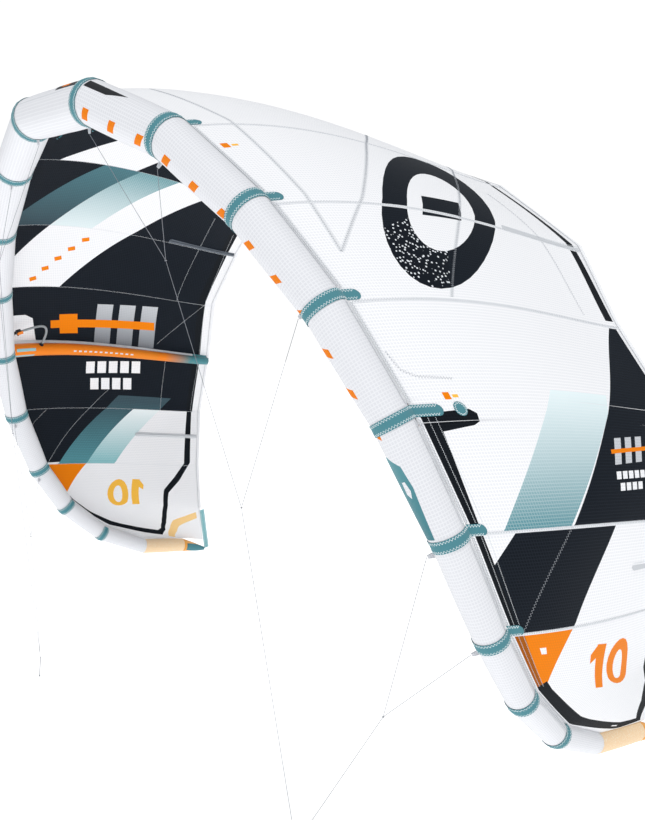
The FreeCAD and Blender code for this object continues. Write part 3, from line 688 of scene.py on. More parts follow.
CANOPY_LOOKS = [
    look("canopy_white", WHITE, grid=WHITE_GRID, mottle=0.02, **ripstop),
    look("canopy_dark", DARK, grid=DARK_GRID, **dull_ripstop),
    faded("fade_deep_teal", rgb(72, 124, 134), rgb(46, 70, 80), -2.1, -3.1, DARK_GRID),
    faded("fade_light_teal", rgb(92, 150, 158), rgb(226, 239, 241), -2.1, -3.1),
    faded("fade_lower_deep", rgb(55, 82, 92), rgb(84, 152, 162), -5.9, -7.0, DARK_GRID),
    faded("fade_lower_light", rgb(242, 249, 250), rgb(116, 184, 190), -6.0, -7.0),
    faded("fade_right", rgb(232, 246, 248), rgb(80, 142, 152), 4.85, 6.0),
    look("canopy_orange", ORANGE, grid=(rgb(222, 126, 20), 0.4), **dull_ripstop),
    look("canopy_burnt", rgb(172, 92, 14), grid=(rgb(150, 80, 12), 0.4), **dull_ripstop),
    look("canopy_gold", GOLD, grid=(rgb(240, 178, 60), 0.4), **dull_ripstop),
    faded("canopy_silver", rgb(206, 209, 213), rgb(120, 126, 133), -4.2, -4.9, (rgb(150, 155, 160), 0.3)),
    look("canopy_speckled", rgb(17, 23, 31), speckle=(rgb(225, 229, 233), 70.0, 0.30), **dull_ripstop),
    look("canopy_trim", rgb(18, 22, 27), grid=(rgb(34, 39, 46), 0.3), **dull_ripstop),
    look("canopy_taped", rgb(226, 228, 231), grid=(rgb(240, 241, 243), 0.8), **ripstop),
    look("fade_faint_teal", rgb(178, 220, 226), grid=FADE_GRID, **ripstop),
    look("canopy_pale_orange", rgb(253, 214, 148), grid=(rgb(240, 196, 124), 0.4), **ripstop),
]

EDGE = 0.955
NOUGHT_HOLE = (0.42, 0.6)
SEAMS = (2.05, 3.08, 4.06, 6.03, 7.05)
# Seams and load tapes of each wing in (u, v); all are sewn through, so both faces show them.
RIGHT_SEAMS = [[(u, 0.01), (u, 0.985)] for u in SEAMS]
RIGHT_LOADS = [
    [(1.05, 0.10), (1.95, 0.113), (2.98, 0.093), (3.6, 0.073)],
    [(1.5, 0.66), (2.05, 0.493), (3.03, 0.233), (3.6, 0.073)],
    [(1.75, 0.88), (2.98, 0.543), (4.03, 0.303)],
    [(2.43, 0.81), (3.0, 0.823), (3.98, 0.847)],
    [(4.5, 0.02), (4.66, 0.03), (4.72, 0.06), (4.75, 0.15)],
    [(6.03, 0.34), (7.05, 0.05)],
    [(5.0, 0.86), (5.55, 0.80), (6.03, 0.74)],
]


def edging_quads(number, inner, outer):
    """One quad of colour between each pair of neighbouring points of two outlines."""
    return [(number, [inner[i], inner[i + 1], outer[i + 1], outer[i]]) for i in range(len(inner) - 1)]


def canopy_ground(u, v):
    return PLAIN_DARK if SEAMS[-1] > -u > 0 and v <= EDGE else PLAIN_WHITE


def right_shapes():
    shapes = []
    # thin dark edging inside the white trailing edge margin, wider towards the tip
    edging = [(1.7, 0.94, 0.006), (3.0, 0.955, 0.013), (4.0, 0.965, 0.018)]
    for (u0, v0, w0), (u1, v1, w1) in zip(edging, edging[1:]):
        shapes.append((TRIM, [(u0, v0 - w0), (u1, v1 - w1), (u1, v1 + w1), (u0, v0 + w0)]))
    shapes += [
        # dark panel behind the strut and its slanted strip down to the tip
        (PLAIN_DARK, [(4.05, 0.975), (4.05, 0.94), (5.0, 0.655), (6.03, 0.335), (6.03, 0.975)]),
        (PLAIN_DARK, [(6.03, 0.143), (6.03, 0.535), (7.05, 0.285), (7.05, 0.02), (6.35, 0.035)]),
        # reinforcement along the tube with a short arm behind the strut's band
        (TRIM, [(5.03, 0.013), (5.0, 0.15), (5.04, 0.168), (5.11, 0.165), (5.14, 0.145), (5.2, 0.013)]),
        (TRIM, [(5.1, 0.013), (5.1, 0.055), (6.0, 0.036), (6.0, 0.013)]),
        (TRIM, [(6.0, 0.013), (6.0, 0.036), (7.05, 0.044), (7.05, 0.015)]),
        (BURNT_ORANGE, [(7.05, 0.015), (7.05, 0.055), (8.0, 0.05), (8.0, 0.018)]),
        (BRIGHT_ORANGE, [(7.05, 0.055), (7.05, 0.285), (8.0, 0.05)]),
        (RIGHT_FADE, [(4.83, 0.453), (4.83, 0.69), (5.0, 0.655), (6.03, 0.335), (6.03, 0.1)]),
    ]
    # dark edging round the tip
    inner = [(7.85, 0.08), (8.3, 0.11), (8.85, 0.143), (9.75, 0.35),
             (10.1, 0.527), (9.38, 0.773), (8.6, 0.90), (6.03, 0.93)]
    outer = [(7.95, 0.017), (8.5, 0.02), (9.1, 0.025), (10.15, 0.20),
             (10.5, 0.47), (9.75, 0.82), (8.75, 0.955), (6.03, 0.97)]
    shapes += edging_quads(TRIM, inner, outer)
    one = place_box([(7.38, 0.423), (7.40, 0.490), (8.18, 0.437), (8.15, 0.377)])
    nought = place_box([(7.35, 0.527), (7.43, 0.72), (8.33, 0.687), (8.10, 0.473)])
    shapes += [(BRIGHT_ORANGE, quad) for quad in numeral_one(one) + ring_quads(nought, NOUGHT_HOLE)]
    # faint load tapes from the tube towards the trailing edge
    for path in RIGHT_LOADS[:3]:
        for (u0, v0), (u1, v1) in zip(path, path[1:]):
            shapes.append((TAPED, [(u0, v0 - 0.007), (u1, v1 - 0.007), (u1, v1 + 0.007), (u0, v0 + 0.007)]))
    # blank emblem: a thick ring with a bar across it, part of its lower half speckled
    emblem = place_box([(2.1, 0.49), (2.0, 0.86), (3.93, 0.485), (3.98, 0.085)])
    shapes += [(PLAIN_DARK, quad) for quad in ring_quads(emblem, (0.60, 0.58), 36, 16, 44)]
    shapes += [(SPECKLED, quad) for quad in ring_quads(emblem, (0.60, 0.58), 36, 8, 16)]
    shapes.append((PLAIN_DARK, bar(emblem, 0.33, 0.43, 0.67, 0.57)))
    # blank marks on the dark panel
    mark = place_box([(5.25, 0.61), (5.2, 0.80), (5.45, 0.775), (5.5, 0.585)])
    for i in range(3):
        shapes.append((SILVER, bar(mark, 0.05 + 0.28 * i, 0.0, 0.22 + 0.28 * i, 1.0, 0.08)))
    shapes.append((BRIGHT_ORANGE, bar(mark, 0.0, 0.42, 1.1, 0.58)))
    rows = place_box([(5.56, 0.59), (5.54, 0.74), (5.72, 0.72), (5.74, 0.57)])
    blocks = block_rows(rows, [(0.0, 0.4, 0.0, 1.0, 5), (0.6, 1.0, 0.1, 0.9, 4)])
    shapes += [(PLAIN_WHITE, quad) for quad in blocks]
    # small blank marks, an orange chip with a dash beside it
    for u, v in ((2.32, 0.02), (4.86, 0.10)):
        chip = place_box([(u, v), (u, v + 0.04), (u + 0.06, v + 0.04), (u + 0.06, v)])
        shapes.append((BRIGHT_ORANGE, bar(chip, 0, 0, 0.45, 1)))
        shapes.append((GOLDEN, bar(chip, 0.6, 1 / 3, 1, 0.75)))
    shapes.append((PLAIN_WHITE, [(7.3, 0.10), (7.3, 0.13), (7.4, 0.125), (7.4, 0.10)]))
    shapes.append((PLAIN_WHITE, [(9.75, 0.22), (9.72, 0.25), (9.85, 0.28), (9.88, 0.25)]))
    # faint streaks near the centre's trailing edge
    for i in range(3):
        u, v = 1.02 + 0.14 * i, 0.30 + 0.09 * i
        end = 0.52 + 0.1 * i
        shapes.append((FAINT_TEAL, [(u, v), (u + 0.03, v + 0.02), (u + 0.16, end), (u + 0.10, end - 0.02)]))
    return shapes


def left_shapes():
    shapes = [
        (PLAIN_WHITE, [(-2.05, 0.13), (-2.05, 0.435), (-1.0, 0.70), (-1.0, 0.55)]),
        (DEEP_TEAL_FADE, [(-2.05, 0.31), (-2.05, 0.455), (-3.08, 0.17), (-3.08, 0.0), (-3.0, 0.0)]),
        (LIGHT_TEAL_FADE, [(-2.05, 0.455), (-2.05, 0.615), (-3.08, 0.345), (-3.08, 0.17)]),
        (PLAIN_WHITE, [(-2.05, 0.615), (-2.05, 0.79), (-3.08, 0.515), (-3.08, 0.345)]),
        (PLAIN_WHITE, [(-3.08, 0.17), (-3.08, 0.515), (-4.06, 0.25), (-4.06, 0.0), (-3.68, 0.0)]),
        (LOWER_DEEP_FADE, [(-5.8, 0.543), (-5.8, 0.827), (-6.03, 0.765), (-6.03, 0.47)]),
        (LOWER_DEEP_FADE, [(-6.03, 0.47), (-6.03, 0.62), (-7.05, 0.275), (-7.05, 0.09)]),
        (PLAIN_WHITE, [(-6.03, 0.765), (-6.03, EDGE), (-7.05, EDGE), (-7.05, 0.455)]),
        (LOWER_LIGHT_FADE, [(-6.03, 0.62), (-6.03, 0.765), (-7.05, 0.455), (-7.05, 0.275)]),
        (BRIGHT_ORANGE, [(-7.05, 0.03), (-7.05, 0.275), (-7.8, 0.02), (-7.8, 0.0), (-7.2, 0.0)]),
        # dark edging from the trailing edge round the tip to the tube
        (TRIM, [(-2.4, 0.92), (-2.4, EDGE), (-6.03, EDGE), (-6.03, 0.92)]),
    ]
    inner = [(-6.03, 0.923), (-7.0, 0.907), (-7.33, 0.833), (-7.62, 0.753), (-7.95, 0.723), (-8.3, 0.69),
             (-8.65, 0.653), (-9.03, 0.597), (-9.43, 0.513), (-9.55, 0.443), (-9.25, 0.293), (-8.85, 0.13),
             (-8.45, 0.047), (-7.9, 0.023)]
    outer = [(-6.03, 0.95), (-6.98, 0.947), (-7.4, 0.865), (-7.68, 0.783), (-7.95, 0.757), (-8.35, 0.723),
             (-8.72, 0.687), (-9.1, 0.633), (-9.6, 0.527), (-9.93, 0.373), (-9.6, 0.24), (-9.0, 0.06),
             (-8.5, 0.01), (-7.9, 0.0)]
    shapes += edging_quads(TRIM, inner, outer)
    # pale band across the tip's rear corner
    inner = [(-8.33, 0.963), (-8.65, 0.857), (-8.93, 0.723), (-9.5, 0.607), (-10.15, 0.39)]
    outer = [(-8.8, 0.963), (-9.1, 0.85), (-9.4, 0.733), (-9.78, 0.643), (-10.45, 0.383)]
    shapes += edging_quads(PALE_ORANGE, inner, outer)
    one = place_box([(-7.40, 0.60), (-7.40, 0.55), (-8.08, 0.473), (-8.05, 0.533)])
    nought = place_box([(-7.43, 0.383), (-7.40, 0.53), (-8.15, 0.443), (-8.20, 0.267)])
    shapes += [(GOLDEN, quad) for quad in numeral_one(one) + ring_quads(nought, NOUGHT_HOLE)]
    # blank mark: three slanted silver bars crossed by an orange one, with a square beside it
    mark = place_box([(-4.30, 0.20), (-4.14, 0.735), (-4.98, 0.745), (-5.05, 0.20)])
    for i in range(3):
        shapes.append((SILVER, bar(mark, 0.40 + 0.2 * i, 0.08, 0.54 + 0.2 * i, 0.92, 0.04)))
    shapes.append((BRIGHT_ORANGE, bar(mark, 0.02, 0.40, 0.95, 0.56)))
    shapes.append((BRIGHT_ORANGE, bar(mark, 0.10, 0.28, 0.26, 0.68)))
    words = place_box([(-5.25, 0.38), (-5.17, 0.665), (-5.68, 0.67), (-5.72, 0.37)])
    blocks = block_rows(words, [(0.0, 0.42, 0.0, 1.0, 5), (0.6, 1.0, 0.08, 0.85, 4)])
    shapes += [(PLAIN_WHITE, quad) for quad in blocks]
    # row of short orange dashes along the white band
    for i in range(5):
        u, v = -3.26 - 0.165 * i, 0.315 - 0.052 * i
        dash = [(u, v), (u + 0.03, v + 0.03), (u - 0.03, v + 0.035), (u - 0.06, v + 0.005)]
        shapes.append((BRIGHT_ORANGE, dash))
    # rounded white patch round the hose, beside the strut's root
    patch = [(-4.5, 0.0), (-4.5, 0.09), (-4.56, 0.125), (-4.9, 0.135), (-4.98, 0.13), (-4.98, 0.0)]
    shapes.append((PLAIN_WHITE, patch))
    return shapes


def canopy_metres(u, v):
    """Flat position on the cloth, in metres along the span and the chord."""
    return np.stack([span_metres(u), np.asarray(v, float) * along_ribs(CHORDS, u)], -1)


SPAN_STEPS, CHORD_STEPS, CANOPY_WALL = 8, 44, 1.0 * MM
us = np.linspace(-MIDDLE, MIDDLE, 2 * MIDDLE * SPAN_STEPS + 1)
vs = np.linspace(0, 1, CHORD_STEPS + 1)
panels = right_shapes() + left_shapes()
sheet = painted_sheet("canopy", us, vs, canopy_ground, panels, canopy, canopy_metres, CANOPY_LOOKS)
thicken(sheet, CANOPY_WALL)
wings = [f"canopy_{part}_{side}" for part in ("shoulder", "strut", "tip") for side in ("left", "right")]
on_root(sheet, "canopy_ripstop", "canopy_centre", *wings)


# ---------------------------------------------------------------- leading edge tube
CLOTH_RADIUS = 0.08


def tube_metres(u, angle):
    return np.stack([span_metres(u), np.radians(np.asarray(angle, float)) * CLOTH_RADIUS], -1)


dacron = dict(rough=0.5, sheen=0.04, grain=420.0, weave=260, bump=0.2, grid=(rgb(236, 237, 240), 0.8))
printed = dict(dacron, sheen=0, spec=0.06, grid=(rgb(226, 118, 10), 0.5))
TUBE_LOOKS = [
    # the tube's white is painted a flat grey, darker than the canopy's white: painted shade that stands in
    # for the shade on the tube
    look("dacron_white_painted_shade", rgb(222, 223, 227), mottle=0.03, **dacron),
    look("dacron_orange", rgb(238, 128, 6), **printed),
    look("dacron_label", rgb(20, 23, 28), rough=0.45, sheen=0, grain=420.0, bump=0.1),
    look("dacron_tape", rgb(214, 216, 220), rough=0.6, grain=420.0, bump=0.2),
    look("dacron_teal", rgb(88, 148, 156), fade=(rgb(58, 120, 130), *fade_between(5.1, 5.95)), rough=0.55),
]
TUBE_WHITE, TUBE_ORANGE, TUBE_LABEL, TUBE_TAPE, TUBE_TEAL = range(5)
TUBE_STEPS, TUBE_SIDES, TUBE_START, PAD_STEPS, PAD_LIFT = 10, 72, -110, 12, 0.3 * MM
DASHES, DASH_START, DASH_STOP, DASH_LOW, DASH_HIGH = 12, 1.1, 4.95, 230, 264


def tube_shapes():
    """Colour on the tube, outlines in (u, angle)."""
    shapes = [
        (TUBE_LABEL, [(0.22, -24), (0.30, -50), (0.93, -50), (0.93, -24)]),
        (TUBE_LABEL, [(1.06, -24), (1.06, -48), (1.35, -46), (1.55, -24)]),
        (TUBE_ORANGE, [(0.40, -28), (0.44, -42), (0.66, -42), (0.62, -28)]),
        (TUBE_TAPE, [(-1.0, -56), (-1.0, -62), (1.0, -62), (1.0, -56)]),
        # panel on the inner side between the strut band and the next
        (TUBE_TEAL, [(5.22, 205), (5.22, 246), (5.32, 284), (5.32, 205)]),
        (TUBE_TEAL, [(5.32, 205), (5.32, 284), (5.5, 292), (5.93, 280), (5.93, 205)]),
        (TUBE_WHITE, [(5.44, 262), (5.44, 274), (5.52, 280), (5.58, 272), (5.54, 260)]),
        (TUBE_ORANGE, [(-6.15, 92), (-6.55, 92), (-6.64, 70), (-6.22, 70)]),
    ]
    # slanted dashes along the lower front, in place of letters
    for u in np.linspace(DASH_START, DASH_STOP, DASHES):
        dash = [(u, DASH_LOW), (u + 0.08, DASH_LOW), (u + 0.14, DASH_HIGH), (u + 0.06, DASH_HIGH)]
        shapes.append((TUBE_ORANGE, dash))
    # the sheet ends a turn after TUBE_START, and what passes its end is painted at its beginning
    beyond = [(number, [(u, angle - 360) for u, angle in outline]) for number, outline in shapes
              if max(angle for _, angle in outline) > TUBE_START + 360]
    return shapes + beyond


tube_us = np.linspace(1 - MIDDLE, MIDDLE - 1, 2 * (MIDDLE - 1) * TUBE_STEPS + 1)
tube_angles = np.linspace(TUBE_START, TUBE_START + 360, TUBE_SIDES + 1)
casing = painted_sheet("leading_edge_tube", tube_us, tube_angles, lambda u, a: TUBE_WHITE, tube_shapes(),
                       tube, tube_metres, TUBE_LOOKS)
close_seam(casing)
on_root(casing, "tube_dacron", "leading_edge_centre", "leading_edge_left", "leading_edge_right")

pad_look = look("tip_pad_look", rgb(246, 214, 172), rough=0.75, speckle=(rgb(250, 232, 206), 150.0, 0.30),
                grain=500, bump=0.5)
for side, sign in (("right", 1), ("left", -1)):
    pad_us = sign * np.linspace(MIDDLE - 1, MIDDLE, PAD_STEPS + 1)
    pad = painted_sheet(f"scuff_pad_{side}", pad_us, tube_angles, lambda u, a: 0, [],
                        lambda u, a: tube(u, a, PAD_LIFT), tube_metres, [pad_look])
    close_seam(pad)
    on_root(pad, "tip_pad", f"tip_pad_{side}")


# ---------------------------------------------------------------- sewn strips
class Pile:
    """Many sewn strips kept as one piece, each a closed bar that follows its path."""

    def __init__(self):
        self.verts, self.faces, self.numbers = [], [], []

    def strip(self, points, normals, width, wall, lift=0.0, number=0, taper=None):
        points, normals = np.asarray(points, float), unit(normals)
        side = unit(np.cross(normals, np.gradient(points, axis=0)))
        half = np.full(len(points), width / 2) if taper is None else np.asarray(taper) / 2
        base = len(self.verts)
        middle = points + normals * lift
        for a, b in ((-1, -1), (1, -1), (1, 1), (-1, 1)):
            ring = middle + side * half[:, None] * a + normals * wall / 2 * b
            self.verts += [tuple(p) for p in ring]
        n = len(points)
        for i in range(n - 1):
            for j in range(4):
                here, there = base + j * n + i, base + (j + 1) % 4 * n + i
                self.faces.append((here, there, there + 1, here + 1))
                self.numbers.append(number)
        for i in (0, n - 1):
            self.faces.append(tuple(base + j * n + i for j in range(4)))
            self.numbers.append(number)

    def zigzag(self, points, normals, number=0, pitch=11 * MM, reach=3.6 * MM, width=1.7 * MM, wall=0.7 * MM,
               lift=0.0):
        """Zigzag stitch along a path."""
        points, normals = np.asarray(points, float), np.asarray(normals, float)
        far = np.concatenate(([0], np.cumsum(np.linalg.norm(np.diff(points, axis=0), axis=1))))
        count = max(4, int(far[-1] / (pitch / 2)))
        spots = np.linspace(0, far[-1], count + 1)
        line = np.stack([np.interp(spots, far, points[:, i]) for i in range(3)], -1)
        up = unit(np.stack([np.interp(spots, far, normals[:, i]) for i in range(3)], -1))
        side = unit(np.cross(up, np.gradient(line, axis=0)))
        swing = np.where(np.arange(count + 1) % 2, 1.0, -1.0)[:, None] * reach
        self.strip(line + side * swing, up, width, wall, lift, number)

    def piece(self, name, looks, slot, *nodes):
        mesh = new_mesh(name, self.verts, self.faces, looks, False)
        mesh.polygons.foreach_set("material_index", self.numbers)
        bm = bmesh.new()
        bm.from_mesh(mesh)
        bmesh.ops.recalc_face_normals(bm, faces=bm.faces)
        bm.to_mesh(mesh)
        bm.free()
        return on_root(new_object(name, mesh), slot, *nodes)


def dense(spots, place, step, least, turn_length=0.0):
    """Both coordinates along a path of spots, at least so many to a stretch and one for each step."""
    firsts, seconds = [], []
    for (u0, v0), (u1, v1) in zip(spots, spots[1:]):
        ends = place([u0, u1], [v0, v1])
        length = max(np.linalg.norm(ends[1] - ends[0]), abs(v1 - v0) * turn_length)
        count = max(least, int(length / step))
        firsts += list(np.linspace(u0, u1, count, endpoint=False))
        seconds += list(np.linspace(v0, v1, count, endpoint=False))
    return firsts + [spots[-1][0]], seconds + [spots[-1][1]]


def canopy_path(spots, step=0.012, lift=0.0):
    """Dense points and outward normals along a (u, v) path on the canopy."""
    us, vs = dense(spots, canopy, step, 2)
    points = canopy(us, vs, lift)
    return points, canopy(us, vs, lift + MM) - points


def tube_path(spots, step=0.012, lift=0.0):
    """Dense points and outward normals along a (u, angle) path on the tube."""
    us, angles = dense(spots, tube, step, 3, 1.5 * MM)
    points = tube(us, angles, lift)
    return points, points - along_ribs(CENTRES, us)


LEFT_SEAMS = [[(-u, 0.01), (-u, 0.985)] for u in SEAMS]
LEFT_LOADS = [
    [(-2.48, 0.827), (-4.05, 0.81)],
    [(-2.68, 0.937), (-3.95, 0.957), (-6.0, 0.943)],
    [(-4.03, 0.96), (-4.83, 0.73)],
    [(-5.12, 0.777), (-6.03, 0.77)],
    [(-5.68, 0.5), (-6.03, 0.38), (-7.0, 0.033)],
    [(-6.05, 0.137), (-6.3, 0.027)],
    [(-1.2, 0.03), (-3.6, 0.02), (-4.1, 0.02)],
]
TAPE_WIDTH, TAPE_WALL, THREAD_WALL = 17 * MM, 1.5 * MM, 2.4 * MM
tape_white = look("seam_tape_white", rgb(232, 234, 237), **TAPE_CLOTH)
thread_grey = look("thread_grey", rgb(172, 176, 182), **SEWN_THREAD)
thread_pale = look("thread_pale", rgb(222, 226, 229), **SEWN_THREAD)
tapes, threads_light, threads_dark = Pile(), Pile(), Pile()
for path in RIGHT_SEAMS + RIGHT_LOADS:
    points, normals = canopy_path(path)
    if path in RIGHT_SEAMS:
        tapes.strip(points, normals, TAPE_WIDTH, TAPE_WALL)
    threads_light.zigzag(points, normals, wall=THREAD_WALL, reach=5 * MM, width=1.5 * MM)
for path in LEFT_SEAMS + LEFT_LOADS:
    points, normals = canopy_path(path)
    threads_dark.zigzag(points, normals, wall=THREAD_WALL, reach=2.6 * MM, width=1.1 * MM, pitch=9 * MM)
for edge in (0.03, 0.05):
    for u in range(5, 8):
        points, normals = canopy_path([(u + 0.06, edge), (u + 0.94, edge)])
        threads_dark.zigzag(points, normals, wall=THREAD_WALL, reach=1.6 * MM, width=1.0 * MM, pitch=9 * MM)

# two stitched tapes along the joint between tube and canopy, one on each
JOINT_ANGLE, JOINT_SHARE, JOINT_CLEAR = 30, 0.0065, 0.07
JOINT_LIFT, JOINT_WALL, JOINT_SKIN, JOINT_STITCH = 0.5 * MM, 0.9 * MM, 0.3 * MM, 1.1 * MM
junction = Pile()
for sign in (-1, 1):
    for k in range(1, TIP_RIB + 2):
        ends = [sign * (k + JOINT_CLEAR), sign * (k + 1 - JOINT_CLEAR)]
        points, normals = tube_path([(u, JOINT_ANGLE) for u in ends], lift=JOINT_LIFT)
        junction.strip(points, normals, 20 * MM, JOINT_WALL, JOINT_SKIN)
        for shift in (-5, 5):
            line, up = tube_path([(u, JOINT_ANGLE + shift) for u in ends], lift=JOINT_LIFT)
            junction.zigzag(line, up, 1, lift=JOINT_STITCH)
        points, normals = canopy_path([(u, JOINT_SHARE) for u in ends], lift=JOINT_LIFT)
        junction.strip(points, normals, 14 * MM, JOINT_WALL, JOINT_SKIN)
        junction.zigzag(points, normals, 1, lift=JOINT_STITCH)
junction_tape = look("junction_tape", rgb(226, 228, 231), **TAPE_CLOTH)
junction.piece("junction_tapes", [junction_tape, thread_grey], "tube_dacron")


# ---------------------------------------------------------------- seam bands
BAND_HALF, BAND_COLUMNS, BAND_ROWS, INNER_GAP = 22 * MM, 9, 72, 55 * MM
BAND_WALL, CANOPY_LIFT, TUBE_LIFT, JOINT_RISE = 0.9 * MM, 1.3 * MM, 1.9 * MM, 2.2 * MM
# Length of each band's rounded finger on the canopy, by joint.
FINGERS = {1: 0.045, 2: 0.060, 3: 0.060, 4: 0.062, 5: 0.118, 6: 0.072, 7: 0.068, 8: 0.0, 9: 0.0}


def shell_from_grid(name, points, normals, wall, looks):
    """Closed thin shell over a grid of points, thickened along its normals."""
    rows, columns = points.shape[:2]
    starts = [i * columns + j for i in range(rows - 1) for j in range(columns - 1)]
    faces = [(a, a + 1, a + columns + 1, a + columns) for a in starts]
    verts = (points + normals * wall / 2).reshape(-1, 3)
    return thicken(new_object(name, new_mesh(name, verts, faces, looks)), wall)


def band_point(u0, shift, along, lift):
    """Point of a band, along metres past the joint: on the canopy when positive, else round the tube."""
    rib = RIBS[MIDDLE + u0]
    u = u0 + shift / span_at(u0 + (0.5 if shift > 0 else -0.5))
    if along >= 0:
        return canopy(u, along / rib.chord, lift)
    return tube(u, math.degrees(rib.angle) + math.degrees(along / rib.radius), lift)


band_look = look("seam_band_look", BAND_TEAL, rough=0.7, sheen=0.08, grain=500, weave=240, bump=0.4)
band_thread = look("band_thread_look", rgb(240, 248, 249), **SEWN_THREAD)
band_stitches = Pile()
for u0 in [u * sign for sign in (-1, 1) for u in range(1, 10)]:
    rib = RIBS[MIDDLE + u0]
    finger = FINGERS[abs(u0)]
    around = rib.radius * math.radians(360) - INNER_GAP
    shifts = BAND_HALF * np.sin(np.linspace(-math.pi / 2, math.pi / 2, BAND_COLUMNS))
    tips = BAND_HALF - np.sqrt(BAND_HALF**2 - shifts**2)
    grid, above = np.zeros((2, BAND_ROWS, BAND_COLUMNS, 3))
    for j, (shift, tip) in enumerate(zip(shifts, tips)):
        for i, way in enumerate(np.linspace(max(finger - tip, -tip), -around + tip, BAND_ROWS)):
            over_joint = JOINT_RISE * max(0.0, 1 + way / 0.02) * (finger > 0)
            lift = CANOPY_LIFT if way >= 0 else TUBE_LIFT + over_joint
            grid[i, j] = band_point(u0, shift, way, lift)
            above[i, j] = band_point(u0, shift, way, lift + MM)
    name = f"seam_band_{'right' if u0 > 0 else 'left'}_{abs(u0)}"
    piece = shell_from_grid(name, grid, unit(above - grid), BAND_WALL, [band_look])
    on_root(piece, "teal_band", *(["seam_bands"] if u0 == -1 else []))
    for shift in (-0.66, 0.66):
        column = int(round((math.asin(shift) / math.pi + 0.5) * (BAND_COLUMNS - 1)))
        line, up = grid[2:-2, column], above[2:-2, column] - grid[2:-2, column]
        band_stitches.zigzag(line, up, reach=4.2 * MM, width=2.0 * MM, pitch=11 * MM, lift=1.1 * MM)
band_stitches.piece("band_stitches", [band_thread], "teal_band")

# stitched round patch past the end of the right strut's band
DISC_RADIUS, DISC_STITCH, DISC_SHARE = 26 * MM, 21 * MM, 0.127
turns = np.linspace(0, 2 * math.pi, 33)


def disc_place(reach):
    """(u, v) of circles round the patch's centre."""
    us = 5 + np.multiply.outer(reach, np.cos(turns)) / span_at(5.5)
    return us, DISC_SHARE + np.multiply.outer(reach, np.sin(turns)) / RIBS[MIDDLE + 5].chord


disc_us, disc_vs = disc_place(np.linspace(0, DISC_RADIUS, 5))
grid = canopy(disc_us, disc_vs, CANOPY_LIFT)
up = unit(canopy(disc_us, disc_vs, CANOPY_LIFT + MM) - grid)
disc = shell_from_grid("round_patch", grid, up, BAND_WALL, [band_look])
close_seam(disc)
on_root(disc, "teal_band")
disc_stitch = Pile()
points, normals = canopy_path(list(zip(*disc_place(DISC_STITCH))), step=0.004)
disc_stitch.zigzag(points, normals, reach=2.6 * MM, width=1.8 * MM, pitch=9 * MM, lift=2.4 * MM)
disc_stitch.piece("round_patch_stitches", [band_thread], "teal_band")


# ---------------------------------------------------------------- bridle tabs
TAB_ROOT, TAB_TIP, TAB_PLY, TAB_FOLD = 22 * MM, 13 * MM, 1.8 * MM, 1.3 * MM
TAB_STITCHES, STITCH_HALF = (5 * MM, 11 * MM), 7 * MM
tab_look = look("bridle_tab_look", rgb(206, 208, 213), rough=0.75, grain=500, weave=420, bump=0.6)
tabs = Pile()
for _, turn in SIDES:
    for k, shift, goal in ATTACHMENTS:
        foot, pull, aim = attachment(k, shift, goal)
        flat = np.cross(aim, pull)
        reach = TAB_REACH - TAB_FOLD - TAB_PLY
        legs = np.linspace(-0.5 * MM, reach, 7)
        bend = np.linspace(0, math.pi, 9)[1:-1]
        points = [foot + pull * s + flat * TAB_FOLD for s in legs]
        outward = [pull * math.sin(b) + flat * math.cos(b) for b in bend]
        points += [foot + pull * reach + way * TAB_FOLD for way in outward]
        points += [foot + pull * s - flat * TAB_FOLD for s in legs[::-1]]
        normals = [flat] * len(legs) + outward + [-flat] * len(legs)
        wide = list(np.linspace(TAB_ROOT, TAB_TIP, len(legs)))
        taper = np.array(wide + [TAB_TIP] * len(bend) + wide[::-1])
        tabs.strip(np.array(points) * turn, np.array(normals) * turn, 0, TAB_PLY, 0.0, 0, taper)
        for height in TAB_STITCHES:
            spread = np.linspace(-STITCH_HALF, STITCH_HALF, 9)
            row = np.array([foot + pull * height + aim * s for s in spread]) * turn
            for face in (-1, 1):
                above = np.broadcast_to(flat * face * turn, row.shape)
                tabs.zigzag(row, above, 1, 4 * MM, 1.2 * MM, 1.0 * MM, 0.8 * MM, TAB_FOLD + TAB_PLY / 2)
tabs.piece("folded_bridle_tabs", [tab_look, thread_grey], "bridle_tab", "bridle_tabs")

# ---------------------------------------------------------------- trailing edge hem and batten pockets
hem = Pile()
hem_look = look("hem_look", rgb(244, 245, 247), rough=0.6, grain=700, weave=300)
for sign in (-1, 1):
    ribs = [sign * u for u in range(TIP_RIB + 2)]
    points, normals = canopy_path([(u, 1.0) for u in ribs], step=0.02)
    hem.strip(points, normals, 17 * MM, 2.8 * MM)
    line, up = canopy_path([(u, 0.99) for u in ribs], step=0.02)
    hem.zigzag(line, up, 1, reach=2.0 * MM, width=1.1 * MM, wall=3.2 * MM)
hem_nodes = ["trailing_edge_hem_left", "trailing_edge_hem_right"]
hem.piece("trailing_edge_tape", [hem_look, thread_grey], "hem_tape", *hem_nodes)

